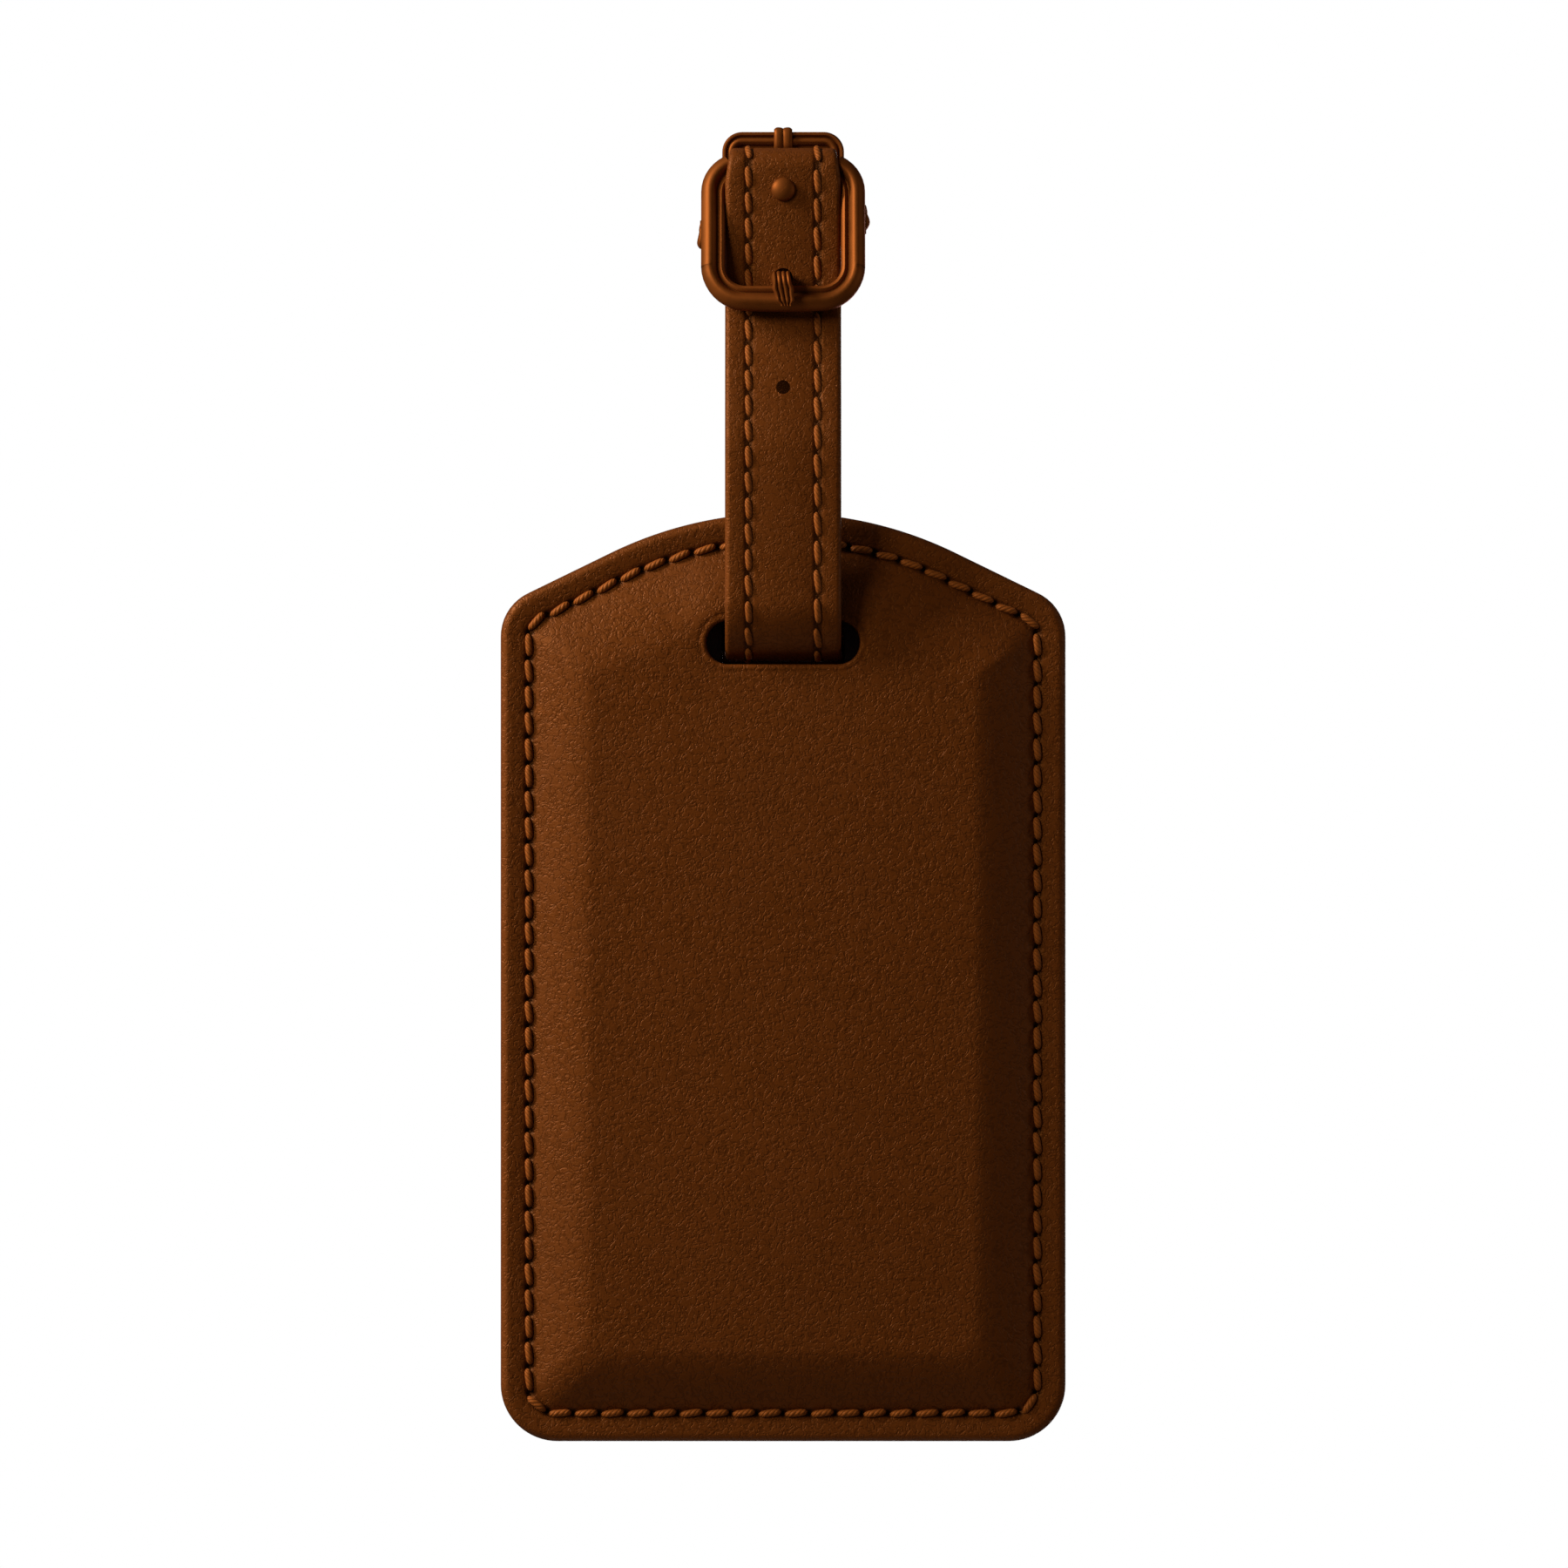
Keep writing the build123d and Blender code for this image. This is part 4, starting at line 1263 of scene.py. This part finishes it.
class TAG_OT_strap(bpy.types.Operator):
    """Make the strap's two leathers, with their holes"""
    bl_idname = "tag.strap"
    bl_label = "Strap"

    def execute(self, context):
        places = strap_places()
        halves = [strap_half_at(place, n, len(places)) for n, place in enumerate(places)]
        piece = sweep("strap_leather", places,
                      lambda n: band_section(halves[n], -STRAP_SKIN / 2, STRAP_SKIN / 2, 0.62,
                                             (-STRAP_SEAM_X, STRAP_SEAM_X)))
        off_seam = [abs(abs(point.co.x / MM) - STRAP_SEAM_X) for point in piece.data.vertices]
        # Painted shade along the strap's stitch grooves: darkest on the groove, fainter beside it.
        paint_seam_shade(piece, [0.9 if off < 0.2 else 0.65 if off < 0.5 else 0.0 for off in off_seam])
        bore(piece, [
            drill(SPARE_HOLE_Z, SPARE_HOLE_RADIUS, 0, -9),
            drill(PRONG_HOLE_Z + 0.1, PRONG_HOLE_RADIUS, -1.8, -9),
            block((-1.7, -2.0, 9.9), (1.7, 3.0, 14.1)),
            block((-1.7, -2.0, 5.2), (1.7, 0.97, 10.5)),
        ])
        smooth(piece, 42)
        finish_piece(piece, "strap", ["strap_outer"], material_for("strap"))
        lining_places = rounded_route(STRAP_ROUTE[:9] + [LINING_END], STRAP_BENDS[:8], ROUTE_STEP)
        inner = -STRAP_SKIN / 2
        halves = [strap_half_at(place, n, len(places)) - 0.08
                  for n, place in enumerate(lining_places)]
        lining = sweep("strap_inner_leather", lining_places,
                       lambda n: [(x, inner - out - LINING + 0.5) for x, out in
                                  band_section(halves[n], -LINING + 0.5, 0.5, 0.28)])
        bore(lining, [drill(SPARE_HOLE_Z, SPARE_HOLE_RADIUS, 0, -9),
                      drill(PRONG_HOLE_Z + 0.1, PRONG_HOLE_RADIUS, 0, -9)])
        smooth(lining, 42)
        # The lining's dark colour is painted shade, so the holes through the strap and its side
        # edges read dark.
        finish_piece(lining, "strap", ["strap_lining"], material_for("lining"))
        return {"FINISHED"}


class TAG_OT_strap_stitches(bpy.types.Operator):
    """Sew the strap's two rows, over the fold, down the front and up the back"""
    bl_idname = "tag.strap_stitches"
    bl_label = "Strap stitches"

    def execute(self, context):
        places = strap_places()
        lengths = run_lengths(places)
        start, end = 6.6, lengths[-1] - 24.5
        for name, replaced, x, pitch in (
                ("strap_row_left", "strap_stitching_left", -STRAP_SEAM_X, 2.95),
                ("strap_row_right", "strap_stitching_right", STRAP_SEAM_X, 3.30)):
            master = thread_master(pitch * 0.88, 0.78, 0.32)
            matrices = []
            for number in range(int((end - start) / pitch)):
                along = start + (number + 0.5) * pitch
                after = next(n for n, length in enumerate(lengths) if length > along)
                share = (along - lengths[after - 1]) / (lengths[after] - lengths[after - 1])
                spot = places[after - 1][0].lerp(places[after][0], share)
                run = places[after - 1][1].lerp(places[after][1], share)
                out = out_of(run)
                spot = spot + out * (STRAP_SKIN / 2 - 0.06)
                wobble = 0.12 + 0.05 * sin(number * 3.1)
                matrices.append(stitch_matrix(
                    Vector((x, spot.x, spot.y)), Vector((0, run.x, run.y)),
                    Vector((0, out.x, out.y)), wobble))
            thread_row(name, master, matrices, replaced, "strap")
            bpy.data.objects.remove(master)
        return {"FINISHED"}


# ---- the buckle ----
def frame_point(across, up, out):
    spot = FRAME_REST + FRAME_ACROSS * across + FRAME_UP * up + FRAME_OUT * out
    return tuple(spot)


def rounded_box_stations(half_x, low, high, radius, bow, per_side=26, per_corner=10):
    """A rounded rectangle, anticlockwise from the lower right corner's end, with a bowed bottom."""
    spots = []
    corners = ((half_x - radius, low + radius, -pi / 2), (half_x - radius, high - radius, 0),
               (-half_x + radius, high - radius, pi / 2), (-half_x + radius, low + radius, pi))
    for number, (x, y, turn) in enumerate(corners):
        for n in range(per_corner + 1):
            angle = turn + pi / 2 * n / per_corner
            spots.append(Vector((x + radius * cos(angle), y + radius * sin(angle))))
        following = corners[(number + 1) % 4]
        angle = turn + pi / 2
        goal = Vector((following[0] + radius * cos(angle), following[1] + radius * sin(angle)))
        last = spots[-1].copy()
        for n in range(1, per_side):
            spots.append(last.lerp(goal, n / per_side))
    for spot in spots:
        if spot.y < low + radius:
            spot.y -= bow * max(0.0, 1 - (spot.x / half_x) ** 2) - bow
    return spots


class TAG_OT_buckle_frame(bpy.types.Operator):
    """Make the buckle's frame: round bars, a bowed lower bar, a seat for the strap, two lugs"""
    bl_idname = "tag.buckle_frame"
    bl_label = "Buckle frame"

    def execute(self, context):
        half = mm_box("buckle_frame")[1][0]
        length, rest, depth = 19.1, 3.0, 2.4
        side = half - STRAP_HALF + 0.03
        outer = rounded_box_stations(half, -rest / 2, length - rest / 2, 4.8, 0.55)
        inner = rounded_box_stations(half - side, rest / 2, length - rest / 2 - side, 2.3, 0.0)
        # Round the bar: share of its width from the inner edge, and of its depth from the front.
        # An inner lip, a groove beside it, and a higher rounded ridge along the outer side.
        section = [
            (0.0, 0.56), (0.02, 0.36), (0.08, 0.25), (0.16, 0.21), (0.24, 0.25), (0.30, 0.33),
            (0.35, 0.31), (0.42, 0.17), (0.50, 0.06), (0.59, 0.0), (0.70, 0.02), (0.80, 0.10),
            (0.89, 0.21), (0.96, 0.35), (1.0, 0.50), (0.98, 0.68), (0.90, 0.84), (0.72, 0.95),
            (0.50, 1.0), (0.25, 0.95), (0.10, 0.86), (0.02, 0.72),
        ]
        seat_up = (SEAT_Z - FRAME_REST.z) / cos(FRAME_LEAN)
        seat_out = (SEAT_Y - FRAME_REST.y - seat_up * sin(FRAME_LEAN)) / -cos(FRAME_LEAN)
        points, faces = [], []
        count = len(section)
        for number, (inside, outside) in enumerate(zip(inner, outer)):
            on_top = outside.y > length - rest / 2 - 0.5 and abs(outside.x) < SEAT_HALF
            for share, deep in section:
                spot = inside.lerp(outside, share)
                out = depth / 2 - depth * deep
                if on_top:
                    turn = atan2(0.5 - deep, share - 0.5)
                    blend = min(1.0, (SEAT_HALF - abs(outside.x)) / 0.35)
                    round_up = seat_up + SEAT_RADIUS * cos(turn)
                    round_out = seat_out + SEAT_RADIUS * sin(turn)
                    up = spot.y + (round_up - spot.y) * blend
                    out = out + (round_out - out) * blend
                    points.append(frame_point(spot.x, up, out))
                else:
                    points.append(frame_point(spot.x, spot.y, out))
        stations = len(outer)
        for number in range(stations):
            faces += ring_faces(number * count, (number + 1) % stations * count, count)
        piece = make_piece("buckle_bars", points, faces)
        face_outwards(piece)
        lugs = []
        for side_sign in (-1, 1):
            x = side_sign * (half - side / 2 - 0.05)
            deselect()
            bpy.ops.mesh.primitive_cylinder_add(vertices=40, radius=1.75 * MM, depth=2.05 * MM,
                                                location=(x * MM, 0, PIN_Z * MM),
                                                rotation=(0, pi / 2, 0))
            lug = bpy.context.object
            bpy.ops.object.transform_apply(location=True, rotation=True, scale=True)
            for point in lug.data.vertices:
                if point.co.y < -0.2 * MM:
                    point.co.z = PIN_Z * MM + (point.co.z - PIN_Z * MM) * 1.35
                    point.co.y = point.co.y * 1.9
            bevel = lug.modifiers.new("soften", "BEVEL")
            bevel.width, bevel.segments, bevel.limit_method = 0.3 * MM, 3, "ANGLE"
            bpy.context.view_layer.objects.active = lug
            bpy.ops.object.modifier_apply(modifier="soften")
            lugs.append(lug)
        join_parts([*lugs, piece], piece)
        smooth(piece, 40)
        finish_piece(piece, "strap", ["buckle_frame"], material_for("metal"))
        return {"FINISHED"}


def lathe(name, profile, place, facing):
    """Turn a profile of (radius, height) round an axis, ring by ring from a circle."""
    deselect()
    bpy.ops.mesh.primitive_circle_add(vertices=40, radius=profile[0][0] * MM, fill_type="NGON")
    piece = bpy.context.object
    piece.name = piece.data.name = name
    bpy.ops.object.mode_set(mode="EDIT")
    bpy.ops.mesh.select_all(action="SELECT")
    bpy.ops.transform.translate(value=(0, 0, profile[0][1] * MM))
    for (radius, height), (next_radius, next_height) in zip(profile, profile[1:]):
        bpy.ops.mesh.extrude_region_move(
            TRANSFORM_OT_translate={"value": (0, 0, (next_height - height) * MM)})
        factor = next_radius / radius
        bpy.ops.transform.resize(value=(factor, factor, 1))
    bpy.ops.object.mode_set(mode="OBJECT")
    turn = Vector((0, 0, 1)).rotation_difference(Vector(facing)).to_matrix().to_4x4()
    piece.data.transform(Matrix.Translation(Vector(place) * MM) @ turn)
    face_outwards(piece)
    return piece


def dome(radius, height, base=0.0, steps=7):
    """Profile of a domed head that stands on base, nearly a point at its top."""
    head = [(radius * 0.97, base), (radius, base + 0.12)]
    for n in range(1, steps + 1):
        turn = pi / 2 * n / steps
        head.append((max(radius * cos(turn), 0.01), base + 0.12 + (height - 0.12) * sin(turn)))
    return head


class TAG_OT_fasteners(bpy.types.Operator):
    """Turn the domed stud, its cap, and the rivet behind the strap"""
    bl_idname = "tag.fasteners"
    bl_label = "Stud and rivet"

    def execute(self, context):
        stud_z = (STUD_LOW[2] + STUD_HIGH[2]) / 2
        rivet_z = (RIVET_LOW[2] + RIVET_HIGH[2]) / 2
        cap_y = mm_box("tail_stud_cap")[0][1]
        plate_y = mm_box("chape_rivet")[1][1]
        front, back = (0, -1, 0), (0, 1, 0)
        head_y = STUD_LOW[1] + 0.9
        shank = 0.58
        long_shank = [(shank, 0.0), (shank, STUD_HIGH[1] - head_y)]
        turned = (
            ("stud_dome", "tail_stud", (0, STUD_HIGH[1], stud_z), front,
             long_shank + dome(1.35, 0.88, STUD_HIGH[1] - head_y)),
            ("stud_rear", "tail_stud_cap", (0, cap_y, stud_z), back, dome(1.35, 0.4)),
            ("rivet_rear", "chape_rivet_cap", (0, RIVET_LOW[1], rivet_z), back, dome(1.9, 0.7)),
            ("rivet_plate", "chape_rivet", (0, plate_y, rivet_z), front,
             [(shank, 0.0), (shank, plate_y + 0.05), (1.45, plate_y + 0.06),
              (1.5, plate_y + 0.2), (1.35, plate_y + 0.38), (0.01, plate_y + 0.44)]),
        )
        for name, replaced, place, facing, profile in turned:
            piece = lathe(name, profile, place, facing)
            smooth(piece, 40)
            finish_piece(piece, "strap", [replaced], material_for("metal"))
        return {"FINISHED"}


class TAG_OT_hinge_pin(bpy.types.Operator):
    """Turn the buckle's pin and hammer its ends over into uneven spurs"""
    bl_idname = "tag.hinge_pin"
    bl_label = "Hinge pin"

    def execute(self, context):
        half = PIN_HIGH[0]
        body_half = half - 0.46
        profile = [(0.75, -body_half), (0.8, -body_half + 0.1),
                   (0.8, body_half - 0.1), (0.75, body_half)]
        pin = lathe("pin_bar", profile, (0, 0, PIN_Z), (1, 0, 0))
        parts = [pin]
        # Each spur: its side, its middle above the pin, and how far down it is widest.
        for sign, lift, widest in ((-1, -1.0, -0.75), (1, 1.1, -0.45)):
            deselect()
            bpy.ops.mesh.primitive_uv_sphere_add(segments=28, ring_count=20, radius=1.0)
            head = bpy.context.object
            for point in head.data.vertices:
                x, y, z = point.co
                swell = bell(z - widest, 0.55)
                reach = 0.28 + 0.32 * swell
                notch = 0.07 * bell(z - 0.25, 0.10)
                across = (sign * (body_half - 0.12) + sign * max(0.0, sign * x) * (reach - notch)
                          + min(0.0, sign * x) * sign * 0.3)
                spot = Vector((across, y * (0.95 + 0.2 * swell), PIN_Z + lift + z * 1.5))
                point.co = spot * MM
            parts.append(head)
        join_parts(parts, pin)
        smooth(pin, 45)
        finish_piece(pin, "strap", ["hinge_pin"], material_for("metal"))
        return {"FINISHED"}


def ridged(half, thick, ridges, lift=0.16):
    """Section of a ridged strip as (x, out): rounded ridges in front, flat behind."""
    steps = ridges * 8
    front = []
    for n in range(steps + 1):
        share = n / steps
        wave = abs(sin(pi * ridges * share)) ** 0.6
        fall = max(0.0, abs(share - 0.5) * 2 - 0.75) / 0.25
        out = thick / 2 - lift + lift * wave - 0.25 * thick * fall
        front.append((-half + 2 * half * share, out))
    back = [(half, -thick * 0.3), (half * 0.85, -thick / 2), (-half * 0.85, -thick / 2),
            (-half, -thick * 0.3)]
    return front + back


class TAG_OT_prong(bpy.types.Operator):
    """Make the prong: a curl on the pin, a blade, and a ridged tip hooked over the lower bar"""
    bl_idname = "tag.prong"
    bl_label = "Prong"

    def execute(self, context):
        ridges = context.scene.tag_look.ridges
        low = mm_box("prong")[0]
        thick = 0.84
        tip_y = low[1] + thick / 2
        route = [(-0.42, PIN_Z - 1.0), (-0.42, 5.98), (tip_y, 5.98), (tip_y, low[2])]
        places = rounded_route(route, [0.42, 0.8], 0.16)
        lengths = run_lengths(places)

        def section(number):
            spot, left = places[number][0], lengths[-1] - lengths[number]
            before_leather = unit((-4.05 - spot.x) / 0.6)
            knuckle = bell(spot.y - 5.6, 1.3) * before_leather
            flare = 0.16 * bell(spot.y - 4.6, 0.45) * before_leather
            end = max(0.35, min(1.0, (left + 0.05) / 0.7)) ** 0.5
            wide = (0.80 + 0.27 * before_leather + flare) * end
            deep = (thick + 0.52 * knuckle) * end
            lean = 0.26 * before_leather * (spot.y - 4.6) / 1.4
            lift = 0.10 + 0.16 * before_leather
            return [(x - lean, out) for x, out in ridged(wide, deep, ridges, lift)]

        blade = sweep("prong_blade", places, section)
        deselect()
        bpy.ops.mesh.primitive_torus_add(
            major_segments=40, minor_segments=12, major_radius=1.17 * MM, minor_radius=0.3 * MM,
            location=(0, 0, PIN_Z * MM), rotation=(0, pi / 2, 0))
        curl = bpy.context.object
        bpy.ops.object.transform_apply(location=True, rotation=True, scale=True)
        for point in curl.data.vertices:
            point.co.x *= 2.7
        join_parts([blade, curl], blade)
        smooth(blade, 50)
        finish_piece(blade, "prong", ["prong"], material_for("metal"))
        return {"FINISHED"}


class TAG_OT_keeper(bpy.types.Operator):
    """Bend the keeper loop, with an eye round the pin at each end, and its ridged sleeve"""
    bl_idname = "tag.keeper"
    bl_label = "Keeper loop"

    def execute(self, context):
        half, top = KEEPER_HIGH[0], KEEPER_HIGH[2]
        front = KEEPER_HIGH[1] - 1.2
        foot_z = PIN_Z + 1.2
        # The band's section: how far in from its outer edge, and its depth from the front.
        # A thin rim, a groove, a thicker bar, and a thin web at the inside.
        section = [
            (0.0, 0.55), (0.05, 0.22), (0.20, 0.03), (0.36, 0.04), (0.48, 0.22), (0.58, 0.34),
            (0.68, 0.30), (0.80, 0.08), (1.0, 0.0), (1.22, 0.04), (1.38, 0.25), (1.48, 0.55),
            (1.60, 0.78), (2.35, 0.80), (2.40, 0.90), (2.35, 1.0), (1.3, 1.2), (0.25, 1.2),
            (0.05, 1.0),
        ]
        corner = 2.3
        leg_steps, corner_steps, top_steps = 14, 12, 8
        # Right half of the loop as (place, way in), then its mirror image.
        edge = []
        for n in range(leg_steps + 1):
            z = foot_z + (top - corner - foot_z) * n / leg_steps
            edge.append((Vector((half, z)), Vector((-1, 0))))
        for n in range(1, corner_steps + 1):
            turn = pi / 2 * n / corner_steps
            spot = (half - corner + corner * cos(turn), top - corner + corner * sin(turn))
            edge.append((Vector(spot), Vector((-cos(turn), -sin(turn)))))
        for n in range(1, top_steps + 1):
            edge.append((Vector(((half - corner) * (1 - n / top_steps), top)), Vector((0, -1))))
        edge += [(Vector((-spot.x, spot.y)), Vector((-inward.x, inward.y)))
                 for spot, inward in reversed(edge[:-1])]
        points, faces = [], []
        count = len(section)
        for number, (spot, inward) in enumerate(edge):
            rising = unit((spot.y - foot_z) / 1.6)
            for inset, deep in section:
                depth = inset * (0.55 + 0.45 * rising)
                bent = -0.45 * (1 - rising)
                near = min(depth, corner - 0.05) if 0 < abs(inward.y) < 1 else depth
                inner = spot + inward * near
                points.append((inner.x, front + deep + bent, inner.y))
            if number:
                faces += ring_faces((number - 1) * count, number * count, count)
        band = make_piece("keeper_band", points, faces + end_faces(len(edge), count))
        face_outwards(band)
        parts = [band]
        for sign in (-1, 1):
            deselect()
            bpy.ops.mesh.primitive_torus_add(
                major_segments=40, minor_segments=14,
                major_radius=1.29 * MM, minor_radius=0.43 * MM,
                location=(sign * (half - 0.62) * MM, 0, PIN_Z * MM), rotation=(0, pi / 2, 0))
            bpy.ops.object.transform_apply(location=True, rotation=True, scale=True)
            parts.append(context.object)
            limb = make_piece("keeper_limb", *tube(
                [(sign * (half - off), y, PIN_Z + lift) for off, y, lift in
                 ((0.62, 0.9, 0.75), (0.60, 1.35, 1.0), (0.60, 1.62, 1.5), (0.60, 1.80, 2.1))],
                0.50))
            face_outwards(limb)
            parts.append(limb)
        join_parts(parts, band)
        smooth(band, 50)
        finish_piece(band, "keeper", ["keeper_loop"], material_for("metal"))

        mid_y = (SLEEVE_LOW[1] + SLEEVE_HIGH[1]) / 2
        mid_z = (SLEEVE_LOW[2] + SLEEVE_HIGH[2]) / 2
        half_y = (SLEEVE_HIGH[1] - SLEEVE_LOW[1]) / 2 - 0.2
        half_z = (SLEEVE_HIGH[2] - SLEEVE_LOW[2]) / 2 - 0.2
        section = [(x, out * 0.5) for x, out in ridged(SLEEVE_HIGH[0], 0.8, 2, 0.30)]
        count, turns = len(section), 48
        points, faces = [], []
        for n in range(turns):
            turn = 2 * pi * n / turns
            round_y = half_y * abs(cos(turn)) ** 0.7 * (1 if cos(turn) > 0 else -1)
            round_z = half_z * abs(sin(turn)) ** 0.7 * (1 if sin(turn) > 0 else -1)
            for x, out in section:
                points.append((x, mid_y + round_y + out * cos(turn),
                               mid_z + round_z + out * sin(turn)))
            faces += ring_faces(n * count, (n + 1) % turns * count, count)
        sleeve = make_piece("keeper_sleeve", points, faces)
        face_outwards(sleeve)
        smooth(sleeve, 60)
        finish_piece(sleeve, "keeper", ["keeper_ferrule"], material_for("metal"))
        return {"FINISHED"}


# ---- the stage ----
MIDDLE_Z = -0.052               # height of the tag's middle, in metres


def area_light(name, place, aim, power, width, height):
    light = bpy.data.lights.new(name, "AREA")
    light.shape = "RECTANGLE"
    light.size, light.size_y, light.energy = width, height, power
    lamp = bpy.data.objects.new(name, light)
    lamp.location = place
    lamp.rotation_mode = "QUATERNION"
    lamp.rotation_quaternion = (Vector(aim) - Vector(place)).to_track_quat("-Z", "Y")
    bpy.context.scene.collection.objects.link(lamp)


class TAG_OT_stage(bpy.types.Operator):
    """Set the pale floor, the soft lights and the camera that looks straight at the face"""
    bl_idname = "tag.stage"
    bl_label = "Stage"

    def execute(self, context):
        scene = context.scene
        scene.view_settings.view_transform = "Standard"
        deselect()
        bpy.ops.mesh.primitive_circle_add(vertices=96, radius=0.6, fill_type="NGON",
                                          location=(0, 0, -1.0))
        floor = context.object
        floor.name = "studio_floor"
        pale, _, shader, _ = new_material("Pale floor")
        shader.inputs["Base Color"].default_value = (0.88, 0.88, 0.87, 1)
        shader.inputs["Roughness"].default_value = 0.8
        floor.data.materials.append(pale)
        world = bpy.data.worlds.new("studio")
        scene.world = world
        world.use_nodes = True
        tree = world.node_tree
        tree.nodes.clear()
        output = node(tree, "ShaderNodeOutputWorld", (400, 0))
        mixer = node(tree, "ShaderNodeMixShader", (200, 0))
        rays = node(tree, "ShaderNodeLightPath", (0, 200))
        lit = node(tree, "ShaderNodeBackground", (0, 0))
        lit.inputs["Color"].default_value = (1.0, 0.97, 0.93, 1)
        lit.inputs["Strength"].default_value = 0.05
        seen = node(tree, "ShaderNodeBackground", (0, -150))
        seen.inputs["Color"].default_value = (1, 1, 1, 1)
        seen.inputs["Strength"].default_value = 1.0
        tree.links.new(rays.outputs["Is Camera Ray"], mixer.inputs[0])
        tree.links.new(lit.outputs[0], mixer.inputs[1])
        tree.links.new(seen.outputs[0], mixer.inputs[2])
        tree.links.new(mixer.outputs[0], output.inputs[0])
        middle = Vector((0, -0.002, MIDDLE_Z))
        area_light("key", (-0.572, -0.160, 0.334), middle, 5.5, 0.12, 0.26)
        area_light("front_fill", (-0.60, -0.58, 0.30), middle, 3.0, 0.25, 0.25)
        area_light("rim", (0.5, -0.05, 0.02), middle, 0.25, 0.1, 0.4)
        area_light("rear_fill", (0.15, 0.85, -0.15), middle, 3.6, 0.6, 0.6)
        camera = bpy.data.cameras.new("camera")
        camera.sensor_width = 36
        distance, view_width = 1.6, 0.18
        camera.lens = camera.sensor_width * distance / view_width
        holder = bpy.data.objects.new("camera", camera)
        holder.location = (0.0001, -distance, MIDDLE_Z)
        holder.rotation_euler = (pi / 2, 0, 0)
        scene.collection.objects.link(holder)
        scene.camera = holder
        return {"FINISHED"}


STEPS = (
    TAG_OT_face_panel, TAG_OT_foam, TAG_OT_back_layers, TAG_OT_pocket, TAG_OT_seam, TAG_OT_strap,
    TAG_OT_strap_stitches, TAG_OT_buckle_frame, TAG_OT_fasteners, TAG_OT_hinge_pin, TAG_OT_prong,
    TAG_OT_keeper, TAG_OT_stage,
)


class TAG_PT_panel(bpy.types.Panel):
    bl_idname = "TAG_PT_panel"
    bl_label = "Luggage tag"
    bl_space_type = "VIEW_3D"
    bl_region_type = "UI"
    bl_category = "Luggage tag"

    def draw(self, context):
        look = context.scene.tag_look
        for name in TagLook.__annotations__:
            self.layout.prop(look, name)
        for step in STEPS:
            self.layout.operator(step.bl_idname)


def register():
    for made in (TagLook, *STEPS, TAG_PT_panel):
        bpy.utils.register_class(made)
    bpy.types.Scene.tag_look = PointerProperty(type=TagLook)


def unregister():
    del bpy.types.Scene.tag_look
    for made in reversed((TagLook, *STEPS, TAG_PT_panel)):
        bpy.utils.unregister_class(made)


def main():
    register()
    for step in STEPS:
        group, name = step.bl_idname.split(".")
        getattr(getattr(bpy.ops, group), name)()
    bpy.context.view_layer.update()


if __name__ == "__main__":
    main()
